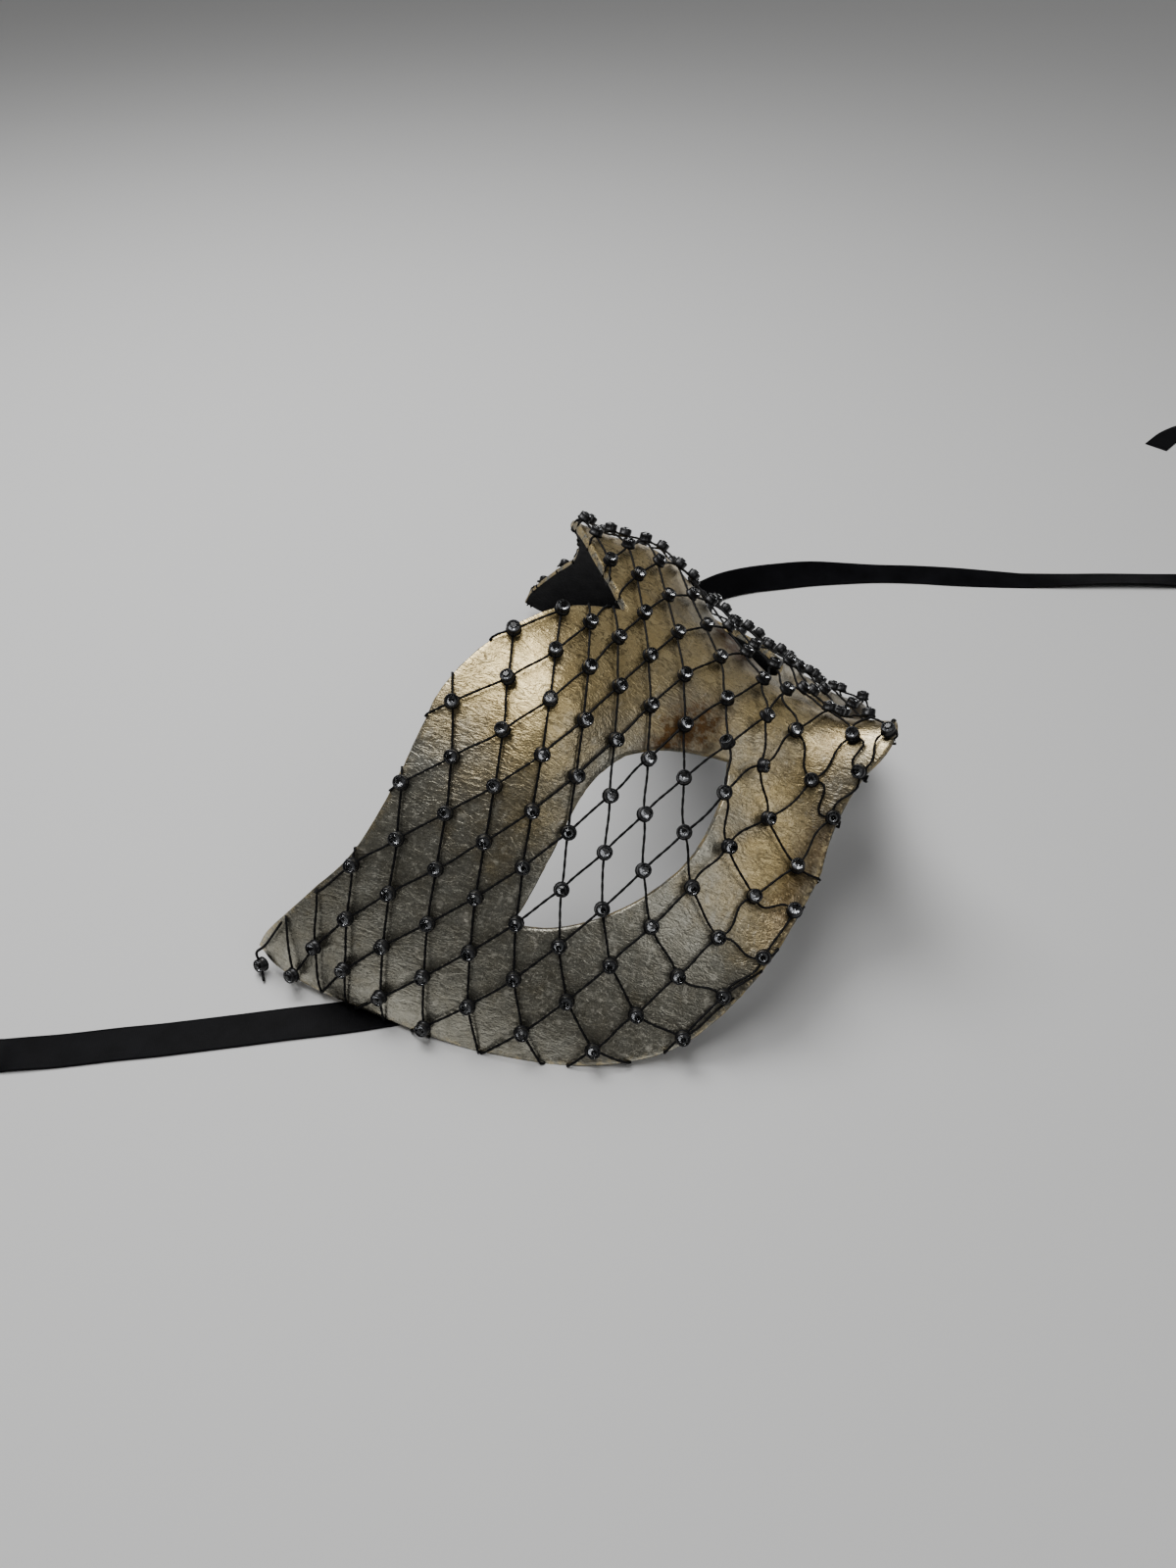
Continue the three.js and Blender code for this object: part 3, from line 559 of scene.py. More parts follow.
def new_group(name, sizes, masks):
    """A shader node group that takes a Vector and named sizes in metres, and puts out masks."""
    group = bpy.data.node_groups.new(name, "ShaderNodeTree")
    group.interface.new_socket("Vector", in_out="INPUT", socket_type="NodeSocketVector")
    for label, size in sizes.items():
        socket = group.interface.new_socket(label, in_out="INPUT", socket_type="NodeSocketFloat")
        socket.default_value = size
    for label in masks:
        group.interface.new_socket(label, in_out="OUTPUT", socket_type="NodeSocketFloat")
    return group, node(group, "NodeGroupInput").outputs, node(group, "NodeGroupOutput").inputs


def new_material(name, **plain):
    """A material with its Principled shader's own values set by name."""
    material = bpy.data.materials.new(name)
    material.use_nodes = True
    tree = material.node_tree
    return material, tree, fed(tree, tree.nodes["Principled BSDF"], **plain)


# Shared finishes

def mottle_group():
    """Soft clouds and fine specks from two noises: Tone is 0 to 1 in patches, Grain in specks."""
    group, start, end = new_group("mottle", {"Patch Size": 0.01, "Grain Size": 0.0006}, ("Tone", "Grain"))
    for label, size, detail, low, high in (("Tone", "Patch Size", 5, 0.32, 0.68),
                                           ("Grain", "Grain Size", 3, 0.3, 0.7)):
        clouds = noise(group, start["Vector"], 1.0, start[size], Detail=detail, Roughness=0.6)
        feed(group, end[label], stretched(group, clouds, low, high))
    return group


def crest(tree, off, narrow):
    """A crest of 1 where off is nothing, which falls to nothing at 1 / narrow."""
    return maths(tree, "SUBTRACT", 1.0, maths(tree, "MINIMUM", times(tree, off, narrow), 1.0))


def crumple_group():
    """Wrinkles of pressed foil: a warped noise, stretched down the face, is highest where it
    crosses its middle; Height is the ridges in two sizes, Cracks the sharp tops of the coarse ones.
    """
    group, start, end = new_group("crumple", {"Crease Size": 0.0016}, ("Height", "Cracks"))
    from_middle = []
    for finer, turn in ((1.0, 0.0), (2.1, 0.35)):
        laid = node(group, "ShaderNodeMapping", Vector=start["Vector"], Rotation=(0.2, 0.1, turn),
                    Scale=(1, 0.34, 0.8))
        warped = noise(group, laid.outputs["Vector"], finer, start["Crease Size"],
                       Detail=2.5, Roughness=0.55, Distortion=1.3)
        from_middle.append(maths(group, "ABSOLUTE", maths(group, "SUBTRACT", warped, 0.5)))
    coarse, fine = from_middle
    feed(group, end["Cracks"], crest(group, coarse, 17.0))
    ridges = times(group, crest(group, coarse, 5.0), 0.6)
    feed(group, end["Height"], scaled(group, crest(group, fine, 4.0), 0.4, ridges))
    return group


def hairline_group():
    """Hairlines: noise stretched far along one direction and cut to its thin peaks, three ways."""
    group, start, end = new_group("hairlines", {"Spacing": 0.0016}, ("Lines",))
    lines = 0.0
    for turn, stretch in (((0.3, 0.2, 0.75), 22), ((0.1, 0.5, -0.6), 16), ((1.1, 0.2, 1.9), 28)):
        laid = node(group, "ShaderNodeMapping", Vector=start["Vector"], Rotation=turn,
                    Scale=(1 / stretch, 1, 1))
        drawn_out = noise(group, laid.outputs["Vector"], 1.0, start["Spacing"], Detail=1.5)
        lines = larger(group, lines, stretched(group, drawn_out, 0.67, 0.74))
    feed(group, end["Lines"], lines)
    return group


def placed_finish(tree, name, **sizes):
    """The outputs of a shared finish, made once and placed here on Object coordinates in metres."""
    makers = {"mottle": mottle_group, "hairlines": hairline_group, "crumple": crumple_group}
    group = bpy.data.node_groups.get(name) or makers[name]()
    places = tree.nodes.get("places") or node(tree, "ShaderNodeTexCoord", name="places")
    places = places.outputs["Object"]
    return node(tree, "ShaderNodeGroup", node_tree=group, Vector=places, **sizes).outputs


def own_number(tree, name):
    """A number that the piece's points carry."""
    return node(tree, "ShaderNodeAttribute", attribute_name=name).outputs["Fac"]


def mottled_material(name, sizes, dark, light, rough, bump=None, shade="Tone", gloss="Grain", **plain):
    """A finish that runs from dark to light with one mask of the mottle and roughens with another.

    Sizes are those of its patches and grain. Rough is how much rougher, and the least roughness.
    Bump is the strength and distance by which the grain raises the surface.
    """
    material, tree, shader = new_material(name, **plain)
    mottle = placed_finish(tree, "mottle", Patch_Size=sizes[0], Grain_Size=sizes[1])
    fed(tree, shader, Base_Color=ramp(tree, mottle[shade], (0.0, dark), (1.0, light)),
        Roughness=scaled(tree, mottle[gloss], *rough))
    if bump:
        fed(tree, shader, Normal=bumped(tree, mottle["Grain"], *bump))
    return material


# Finishes of the shell

CLOUD_TINT = (0.80, 0.77, 0.72)
# Painted shade: the tint that the leaf is multiplied by where the shade patches lie
PAINTED_SHADE_TINT = (0.24, 0.20, 0.14)
CRACK_BROWN = (0.045, 0.026, 0.012)
DEEP_BROWN = (0.045, 0.02, 0.006)
BARE_SILVER = (0.86, 0.82, 0.7)


def rubbed_leaf(tree, coarse, gilding, settings):
    """Silver leaf, clean to dull in patches, with gold rubbed on where the gilding is."""
    silver = mixed(tree, coarse["Tone"], settings.silver, settings.pewter)
    gold = mixed(tree, coarse["Tone"], settings.gold, settings.pale_gold)
    patchy = scaled(tree, coarse["Tone"], 0.5, maths(tree, "SUBTRACT", gilding, 0.25))
    return mixed(tree, ramp(tree, patchy, (0.15, 0.0), (0.85, 1.0)), silver, gold)


def dirtied_and_shaded(tree, colour, coarse, fine, painted_shade):
    """The colour under thin clouds and dark specks, darkened with painted shade where the shade patches
    lie.
    """
    clouds = ramp(tree, fine["Tone"], (0.0, CLOUD_TINT), (1.0, (1.0, 1.0, 1.0)))
    colour = mixed(tree, 1.0, colour, clouds, "MULTIPLY")
    colour = mixed(tree, 0.8, colour, ramp(tree, coarse["Grain"], (0.0, 0.72), (0.4, 1.0)), "MULTIPLY")
    # painted shade: the leaf darkened where the shade patches lie, broken up by the grain
    shade_share = times(tree, painted_shade, ramp(tree, coarse["Grain"], (0.2, 1.0), (0.75, 0.7)))
    return mixed(tree, shade_share, colour, PAINTED_SHADE_TINT, "MULTIPLY")


def cracked(tree, colour, cracks, fine, worn):
    """The colour with dark cracks on the wrinkles' tops, most of them where the leaf is worn."""
    share = times(tree, cracks, scaled(tree, worn, 0.7, 0.1))
    share = times(tree, share, ramp(tree, fine["Tone"], (0.3, 0.2), (0.6, 1.0)))
    return mixed(tree, share, colour, CRACK_BROWN)


def brown_share(tree, coarse, fine, browning):
    """How much of the leaf has browned: the browning, broken up by patches and grain."""
    stained = scaled(tree, fine["Tone"], 0.7, scaled(tree, coarse["Grain"], 0.8, 0.1))
    return maths(tree, "MINIMUM", times(tree, browning, stained), 0.95)


def leaf_material(settings):
    """Silver leaf rubbed with gold, wrinkled like foil, scratched, cracked and browned, with painted
    shade in patches.
    """
    material, tree, shader = new_material("leafed_paper")
    coarse = placed_finish(tree, "mottle", Patch_Size=0.015, Grain_Size=0.0016)
    fine = placed_finish(tree, "mottle", Patch_Size=0.004, Grain_Size=0.0004)
    foil = placed_finish(tree, "crumple", Crease_Size=0.0019)
    scratches = larger(tree, placed_finish(tree, "hairlines", Spacing=0.0009)["Lines"],
                       placed_finish(tree, "hairlines", Spacing=0.0026)["Lines"])
    gilding, browning = own_number(tree, "gilding"), own_number(tree, "browning")
    # the shade patches carry painted shade, and hold back the scratches there
    painted_shade, rim = own_number(tree, "painted_shade"), own_number(tree, "rim")
    worn = larger(tree, gilding, browning)
    colour = dirtied_and_shaded(tree, rubbed_leaf(tree, coarse, gilding, settings), coarse, fine, painted_shade)
    colour = cracked(tree, colour, foil["Cracks"], fine, worn)
    browned = brown_share(tree, coarse, fine, browning)
    colour = mixed(tree, browned, colour, mixed(tree, coarse["Grain"], DEEP_BROWN, settings.brown))
    ragged = times(tree, rim, ramp(tree, coarse["Grain"], (0.45, 0.0), (0.65, 0.5)))
    colour = mixed(tree, ragged, colour, settings.pale_gold)
    lines = times(tree, scratches, maths(tree, "SUBTRACT", 1.0, larger(tree, worn, painted_shade)))
    colour = mixed(tree, times(tree, lines, 0.45), colour, BARE_SILVER)
    rough = scaled(tree, browned, 0.15, scaled(tree, fine["Grain"], -0.08, 0.33))
    height = scaled(tree, fine["Grain"], 0.16, foil["Height"])
    height = scaled(tree, lines, 0.25, scaled(tree, coarse["Grain"], 0.18, height))
    fed(tree, shader, Base_Color=colour, Roughness=scaled(tree, lines, 0.12, rough),
        Metallic=scaled(tree, browned, -0.15, 0.96), Normal=bumped(tree, height, 0.6, 0.00015))
    return material


def lining_material():
    """Matt black paint on paper: nearly black, with the paper's grain."""
    return mottled_material(
        "black_lining", (0.006, 0.0008), (0.006, 0.006, 0.007), (0.016, 0.016, 0.017),
        (0.15, 0.75), (0.6, 0.0002), Specular_IOR_Level=0.15)


def rim_material(settings):
    """The cut edge: gilded paper fibre worn to grey in places."""
    material, tree, shader = new_material("cut_rim", Metallic=0.7)
    mottle = placed_finish(tree, "mottle", Patch_Size=0.004, Grain_Size=0.0006)
    worn = ramp(tree, mottle["Tone"], (0.3, 0.0), (0.7, 1.0))
    colour = mixed(tree, worn, settings.gold, settings.pewter)
    dark = ramp(tree, mottle["Grain"], (0.0, 0.12), (0.7, 0.6))
    fed(tree, shader, Base_Color=mixed(tree, 1.0, colour, dark, "MULTIPLY"),
        Roughness=scaled(tree, mottle["Grain"], 0.2, 0.45),
        Normal=bumped(tree, mottle["Grain"], 0.8, 0.0003))
    return material


# The shell

# Patches on it: degrees round, level, spread in degrees, spread up, amount. First where gold was
# rubbed on, then where the leaf browned, then where shade is painted on to darken the leaf
GILDED = ((12, 72, 22, 22, 1.5), (0, 20, 12, 40, 0.75), (20, 2, 12, 15, 0.75), (45, 95, 10, 6, 0.25))
BROWNED = (
    (13, 33, 5.5, 5, 1.0), (9, 27, 4, 5, 0.9), (19, 36, 5, 3.5, 0.6), (12, -10, 6, 5, 0.3),
    (24, -7, 8, 4, 0.2), (60, 20, 8, 4, 0.2), (14, 48, 5, 4, 0.25),
)
# Painted shade on the nose, its tip, the cheeks and the lower rim: the leaf's colour is darkened there to
# stand for shade
PAINTED_SHADE_PATCHES = (
    (13, -11, 5, 7, 0.6), (24, -8, 10, 7, 0.95), (38, -9, 8, 6, 0.6), (8, 4, 3, 8, 0.45),
    (52, -2, 8, 4, 0.4), (2, -3, 4, 6, 0.8),
)


def patches(angle, level, places):
    """Sum of amount * exp(-(degrees off / spread)^2 - (level off / spread)^2), at most 1."""
    total = 0
    for degrees_round, up, spread_round, spread_up, amount in places:
        total = total + amount * np.exp(-((np.degrees(np.abs(angle)) - degrees_round) / spread_round) ** 2
                                        - ((level - up) / spread_up) ** 2)
    return np.clip(total, 0, 1)


def shell_half(side):
    """One half of the wall: a closed loop of points across the section, all round the eye hole.

    The section runs out over the face, round the rim, back inside and round the lid. A point is
    the face form less depth times its normal, with small lumps outside; on rim and lid it swells
    out in a half round.
    """
    hole, edge = half_pattern()
    share = np.linspace(0, 1, RADIAL_STEPS + 1)[:, None, None]
    place = hole[None] + share * (edge - hole)[None]
    angle, level = side * np.radians(place[..., 0]), place[..., 1]
    outer = face_form(angle, level)
    normal = outward_normal(angle, level)
    lumps = sum(lump_noise(outer, size, draw) * height for size, draw, height in LUMPS)
    outside = outer + normal * lumps[..., None]
    inside = outer - normal * WALL
    on_middle = np.abs(edge[:, 0]) < 1e-9
    turn = np.linspace(0, math.pi, RIM_STEPS + 2)[1:-1]

    def rounded(first, second, before, swell):
        out = unit(first - before)
        out[..., 0] = np.where(on_middle, 0, out[..., 0])
        worn = 1 + RIM_LUMP_SHARE * lump_noise(first, RIM_LUMP_SIZE, RIM_LUMP_DRAW)
        return np.stack([first + (second - first) * (1 - math.cos(a)) / 2
                         + out * (swell * math.sin(a) * worn)[:, None] for a in turn])

    rim = rounded(outside[-1], inside[-1], outside[-2], RIM_SWELL * ~on_middle)
    lid = rounded(inside[0], outside[0], inside[1], RIM_SWELL * np.ones(len(hole)))
    points = np.concatenate([outside, rim, inside[::-1], lid])
    kinds = np.repeat([0, 2, 1, 2], [RADIAL_STEPS, RIM_STEPS + 1, RADIAL_STEPS, RIM_STEPS + 1])
    place_of_row = np.concatenate([place, np.repeat(place[-1:], RIM_STEPS, 0), place[::-1],
                                   np.repeat(place[:1], RIM_STEPS, 0)])
    return points, kinds, place_of_row, on_middle


def shell_mesh():
    """Both halves, joined along the middle line, as points in metres, quads and their finish."""
    all_points, all_faces, all_kinds, all_places = [], [], [], []
    for side in (1, -1):
        points, kinds, places, on_middle = shell_half(side)
        rows, columns = points.shape[:2]
        faces = grid_faces(rows, columns, True, True)
        kind = np.repeat(kinds, columns)
        column = np.tile(np.arange(columns), rows)
        row = np.repeat(np.arange(rows), columns)
        along_middle = on_middle[column] & on_middle[(column + 1) % columns]
        in_rim = (row >= RADIAL_STEPS) & (row <= RADIAL_STEPS + RIM_STEPS)
        keep = ~(along_middle & in_rim)
        faces, kind = faces[keep], kind[keep]
        if side > 0:
            faces = faces[:, ::-1]
        all_faces.append(faces + sum(len(p) for p in all_points))
        all_points.append(points.reshape(-1, 3))
        all_kinds.append(kind)
        all_places.append(places.reshape(-1, 2) * [side, 1])
    points = on_table(np.concatenate(all_points))
    points[:, 2] = np.maximum(points[:, 2], 0)
    return points, np.concatenate(all_faces), np.concatenate(all_kinds), np.concatenate(all_places)


def joined(points, faces, *values):
    """Points closer than a micrometre made one, with the faces and values that go with them."""
    keys = np.round(points * 1000).astype(np.int64)
    _, first, where = np.unique(keys, axis=0, return_index=True, return_inverse=True)
    return points[first], where.ravel()[faces], *(value[first] for value in values)


class MaskShellSettings(bpy.types.PropertyGroup):
    silver: bpy.props.FloatVectorProperty(
        name="Silver", description="Leaf where it is cleanest", subtype="COLOR",
        default=(0.60, 0.585, 0.50), min=0, max=1)
    pewter: bpy.props.FloatVectorProperty(
        name="Pewter", description="Leaf where it has dulled", subtype="COLOR",
        default=(0.40, 0.385, 0.32), min=0, max=1)
    gold: bpy.props.FloatVectorProperty(
        name="Gold", description="Gold rubbed over the silver", subtype="COLOR",
        default=(0.76, 0.59, 0.29), min=0, max=1)
    pale_gold: bpy.props.FloatVectorProperty(
        name="Pale gold", description="Gold where light has bleached it", subtype="COLOR",
        default=(0.91, 0.73, 0.38), min=0, max=1)
    brown: bpy.props.FloatVectorProperty(
        name="Brown", description="Antiquing in the hollows", subtype="COLOR",
        default=(0.15, 0.07, 0.018), min=0, max=1)


class MASK_OT_shell(bpy.types.Operator):
    """Make the leafed shell with its black lining"""
    bl_idname = "mask.shell"
    bl_label = "Mask Shell"

    def execute(self, context):
        settings = context.scene.mask_shell
        points, faces, kinds, places = shell_mesh()
        points, faces, places = joined(points, faces, places)
        materials = [leaf_material(settings), lining_material(), rim_material(settings)]
        shell = new_piece("leafed_shell", points * MM, faces, materials, kinds)
        angle, level = np.radians(places[:, 0]), places[:, 1]
        # the last of these are the painted shade patches
        for name, marks in (("gilding", GILDED), ("browning", BROWNED), ("painted_shade", PAINTED_SHADE_PATCHES)):
            point_attribute(shell, name, patches(angle, level, marks))
        point_attribute(shell, "rim", np.clip(1 - edge_distance(places) / RIM_WEAR_WIDTH, 0, 1))
        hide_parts("mask_shell")
        return {"FINISHED"}


# The net

def edge_loop():
    """The mask's edge on one half, laid flat in millimetres."""
    line = np.vstack([smooth_line(TOP_EDGE), smooth_line(LOWER_EDGE)[1:]])
    return line * [math.radians(1) * HALF_WIDTH, 1]


def edge_distance(places):
    """Millimetres from pattern points, in degrees and level, to the edge of the mask."""
    flat = np.abs(places[:, :1]) * math.radians(1) * HALF_WIDTH
    points = np.concatenate([flat, places[:, 1:]], 1)
    line = edge_loop()
    start, side = line[:-1], np.diff(line, axis=0)
    nearest = np.full(len(points), np.inf)
    for a, d in zip(start, side):
        share = np.clip((points - a) @ d / (d @ d), 0, 1)
        nearest = np.minimum(nearest, np.linalg.norm(points - a - share[:, None] * d, axis=1))
    return nearest


def inside_edge(places):
    """True where a pattern point, in radians and level, lies inside the mask's edge."""
    x, y = np.abs(places[..., 0]) * HALF_WIDTH, places[..., 1]
    line = edge_loop()
    inside = np.zeros(x.shape, bool)
    for (x0, y0), (x1, y1) in zip(line, np.roll(line, -1, axis=0)):
        if y0 == y1:
            continue
        crossed = ((y0 > y) != (y1 > y)) & (x < x0 + (y - y0) / (y1 - y0) * (x1 - x0))
        inside ^= crossed
    return inside


def net_point(places):
    """The surface that the net lies on: the face form lifted, and bridged at the inner eye."""
    return face_form(places[..., 0], places[..., 1], NET_LIFT, True)


def net_tangents(places):
    """The net surface and its steps per radian and per millimetre of level."""
    step = 0.0005
    here = net_point(places)
    around = (net_point(places + [step, 0]) - here) / step
    up = (net_point(places + [0, 100 * step]) - here) / (100 * step)
    return here, around, up


def thread_knots(thread, count, way):
    """One guide thread, a strand at a time; its heading is a cubic in the strands counted.

    Each step is scaled four times over, until the strand on the surface has its length.
    """
    knots = [np.array(FIRST_KNOT)]
    for k in range(count):
        at = min(max(way * (k + 0.5), thread["low"]), thread["high"])
        heading = math.radians(thread["heading"] + thread["turn"] * at + thread["bend"] * at ** 2
                               + thread["sag"] * max(0, at - SAG_START) + thread["curl"] * at ** 3)
        here, around, up = net_tangents(knots[-1])
        upward = unit(up)
        sideways = unit(around - (around @ upward) * upward)
        wanted = (upward * math.cos(heading) + sideways * math.sin(heading)) * way * STRAND_LENGTH
        metric = np.array([[around @ around, around @ up], [around @ up, up @ up]])
        step = np.linalg.solve(metric, [around @ wanted, up @ wanted])
        for _ in range(4):
            step = step * STRAND_LENGTH / np.linalg.norm(net_point(knots[-1] + step) - here)
        knots.append(knots[-1] + step)
    return knots


def meeting_knots(first, second, shared):
    """Knots one strand from both neighbours, by Newton steps on all of a diagonal at once.

    A step is held to six millimetres, with a radian taken as 80 of them, and a knot is found
    when its step is less than a micrometre.
    """
    a, b = net_point(first), net_point(second)
    knot = first + second - shared
    done = np.zeros(len(knot), bool)
    longest, found, radian = 6, 0.001, 80
    for _ in range(12):
        here, around, up = net_tangents(knot)
        from_a, from_b = here - a, here - b
        miss_a = (STRAND_LENGTH ** 2 - np.sum(from_a ** 2, -1)) / 2
        miss_b = (STRAND_LENGTH ** 2 - np.sum(from_b ** 2, -1)) / 2
        a_around, a_up = np.sum(from_a * around, -1), np.sum(from_a * up, -1)
        b_around, b_up = np.sum(from_b * around, -1), np.sum(from_b * up, -1)
        det = a_around * b_up - a_up * b_around
        step = np.stack([miss_a * b_up - miss_b * a_up, miss_b * a_around - miss_a * b_around], -1)
        step = step / det[:, None]
        size = np.maximum(np.abs(step[:, 0]) * radian, np.abs(step[:, 1]))
        step = step * np.minimum(1, longest / np.maximum(size, 1e-12))[:, None]
        knot = knot + np.where(done[:, None], 0, step)
        done |= size < found
    knot[~done] = np.nan
    return knot


def net_knots():
    """Every knot of the net, as an array by column and row, and the numbers of the first knot."""
    before = (COLUMNS_EACH_WAY[1], ROWS_EACH_WAY[1])
    knots = np.full((sum(COLUMNS_EACH_WAY) + 1, sum(ROWS_EACH_WAY) + 1, 2), np.nan)
    for k, way in enumerate((1, -1)):
        for n, knot in enumerate(thread_knots(ROW_THREAD, COLUMNS_EACH_WAY[k], way)):
            knots[before[0] + way * n, before[1]] = knot
        for n, knot in enumerate(thread_knots(COLUMN_THREAD, ROWS_EACH_WAY[k], way)):
            knots[before[0], before[1] + way * n] = knot
    for across, columns in zip((1, -1), COLUMNS_EACH_WAY):
        for along, rows in zip((1, -1), ROWS_EACH_WAY):
            for diagonal in range(2, columns + rows + 1):
                i = np.arange(max(1, diagonal - rows), min(columns, diagonal - 1) + 1)
                c, r = before[0] + across * i, before[1] + along * (diagonal - i)
                with np.errstate(all="ignore"):
                    knots[c, r] = meeting_knots(knots[c - across, r], knots[c, r - along],
                                                knots[c - across, r - along])
    scale = np.array([math.pi / 180, 1])
    moved = knots.copy()
    for place, spread, pull in NET_PULLS:
        away = (knots - place * scale) / (spread * scale)
        moved += np.exp(-np.sum(away ** 2, -1, keepdims=True)) * pull * scale
    for (column, row), (angle, level) in RIM_KNOTS:
        moved[before[0] + column, before[1] + row] = math.radians(angle), level
    return moved, before


def strand_ends(knots):
    """The knots inside the edge, and pairs of pattern places: whole strands and part strands.

    A part strand ends where a straight line on the pattern meets the mask's edge, found by halving.
    """
    inset = edge_distance(knots.reshape(-1, 2) * [math.degrees(1), 1]).reshape(knots.shape[:2])
    inside = inside_edge(knots) & (inset > EDGE_INSET)
    whole, part = [], []
    for step in ((1, 0), (0, 1), (-1, 0), (0, -1)):
        other = np.roll(knots, (-step[0], -step[1]), (0, 1))
        other_inside = np.roll(inside, (-step[0], -step[1]), (0, 1))
        if sum(step) > 0:
            both = inside & other_inside
            whole.append(np.stack([knots[both], other[both]], 1))
        leaving = inside & ~other_inside
        part.append(np.stack([knots[leaving], other[leaving]], 1))
    whole, part = np.concatenate(whole), np.concatenate(part)
    low, high = np.zeros(len(part)), np.ones(len(part))
    for _ in range(14):
        middle = (low + high) / 2
        within = inside_edge(part[:, 0] + middle[:, None] * (part[:, 1] - part[:, 0]))
        low, high = np.where(within, middle, low), np.where(within, high, middle)
    part[:, 1] = part[:, 0] + np.maximum(low, SHORTEST_PART)[:, None] * (part[:, 1] - part[:, 0])
    return knots[inside], whole, part


def strand_lines(ends, rng, slack, hooked=False):
    """Middle lines of strands: the net surface, or the straight chord where that is higher.

    Slack adds a bow of sin(pi t) and a wave of sin(2 pi t) across each strand, in millimetres.
    A strand whose knots lie closer than its length takes up the rest as a wave of
    span / pi * sqrt(length / span - 1).
    """
    t = np.linspace(0, 1, STRAND_STEPS + 1)[None, :, None]
    place = ends[:, :1] + t * (ends[:, 1:] - ends[:, :1])
    points = net_point(place)
    normal = outward_normal(place[..., 0], place[..., 1], lift=NET_LIFT, bridged=True)
    chord = points[:, :1] + t * (points[:, -1:] - points[:, :1])
    above = np.maximum(0, np.sum((chord - points) * normal, -1, keepdims=True))
    points = points + normal * (above - THREAD_DROP)
    across = unit(np.cross(normal, unit(points[:, -1:] - points[:, :1])))
    bow, wave = (rng.normal(0, 1, (len(ends), 1, 1)) * slack[:, None, None] for _ in range(2))
    span = np.linalg.norm(points[:, -1:] - points[:, :1], axis=-1, keepdims=True)
    spare = span / math.pi * np.sqrt(np.clip(STRAND_LENGTH / span - 1, 0, MOST_SPARE))
    taken_up = np.where(hooked, 0, SPARE_SHARE * spare) * looseness(ends)[:, None, None]
    wave = WAVE_SHARE * wave + np.sign(wave) * taken_up
    stray = BOW_SHARE * bow * np.sin(math.pi * t) + wave * np.sin(2 * math.pi * t)
    return points + across * stray, normal


def looseness(ends):
    """From 0, taut on the wings, to 1, loose at the nose: exp(-(degrees/40)^2 - ((level+4)/26)^2)."""
    middle = ends.mean(1)
    angle, level = np.degrees(np.abs(middle[:, 0])), middle[:, 1]
    return np.exp(-(angle / 40) ** 2 - ((level + 4) / 26) ** 2)


def slackness(ends):
    """How far each strand may stray sideways, in millimetres, by how loose it hangs."""
    return TAUT_STRAY + SLACK_STRAY * looseness(ends)


def hooked_lines(ends, rng):
    """Part strands: out along the net, down to the rim, round it, and back inside a little.

    Outside, the lift falls from the net's own to the hook's with the 2.5th power of the way, and
    the hook is a half round from outside the wall to inside it.
    """
    points, normal = strand_lines(ends, rng, slackness(ends), hooked=True)
    t = np.linspace(0, 1, STRAND_STEPS + 1)[None, :, None]
    points = points - normal * (NET_LIFT - THREAD_DROP - HOOK_LIFT) * t ** 2.5
    edge = ends[:, 1]
    back = edge + HOOK_BACK * (ends[:, 0] - edge)
    at_edge, at_back = face_form(edge[:, 0], edge[:, 1]), face_form(back[:, 0], back[:, 1])
    out = unit(at_edge - at_back)
    facing = outward_normal(edge[:, 0], edge[:, 1])
    turn = []
    for a in (math.pi * 0.25, math.pi * 0.5, math.pi * 0.75):
        depth = HOOK_LIFT - (1 - math.cos(a)) / 2 * (WALL + 2 * HOOK_LIFT)
        turn.append(at_edge + out * (HOOK_REACH * math.sin(a)) + facing * depth)
    inner = at_back - outward_normal(back[:, 0], back[:, 1]) * (WALL + HOOK_GAP)
    extra = np.stack([*turn, (turn[-1] + inner) / 2 - facing * HOOK_SAG, inner], 1)
    normals = np.concatenate([normal, np.repeat(facing[:, None], extra.shape[1], 1)], 1)
    return np.concatenate([points, extra], 1), normals


def two_ply(lines, normals, rng, ply_radius, apart):
    """Two thin threads wound round each line; their middles sit apart either way of it.

    Returns the points and faces of all the tubes, in millimetres on the table.
    """
    lines, normals = on_table(lines), turned(normals)
    along = unit(np.gradient(lines, axis=1))
    across = unit(np.cross(normals, along))
    upward = np.cross(along, across)
    steps = lines.shape[1]
    lengths = np.linalg.norm(np.diff(lines, axis=1), axis=-1).sum(1)
    turns = (lengths / TURN_LENGTH)[:, None] * np.linspace(0, 1, steps)[None]
    phase = rng.uniform(0, 2 * math.pi, (len(lines), 1)) + 2 * math.pi * turns
    points, faces, count = [], [], 0
    for half_turn in (0, math.pi):
        a = (phase + half_turn)[..., None]
        middle = lines + apart * (np.cos(a) * across + np.sin(a) * upward)
        middle[..., 2] = np.maximum(middle[..., 2], ply_radius + THREAD_GAP)
        some, blocks = tube(middle, across, upward, ply_radius, PLY_SIDES)
        points.append(some)
        faces.extend(shifted(blocks, count))
        count += len(some)
    return np.concatenate(points), faces


def cup_frames(knots, rng):
    """Each cup's middle and its three directions: a little askew on the net, turned anyhow."""
    middle = on_table(net_point(knots))
    normal = turned(outward_normal(knots[:, 0], knots[:, 1], lift=NET_LIFT, bridged=True))
    normal = unit(normal + rng.normal(0, CUP_ASKEW, normal.shape))
    middle = np.concatenate([middle, [LOOSE_CRYSTAL]])
    normal = np.concatenate([normal, unit(np.array([LOOSE_CUP_AXIS]))])
    first = unit(np.cross(normal, rng.normal(0, 1, normal.shape)))
    return middle, first, np.cross(normal, first), normal


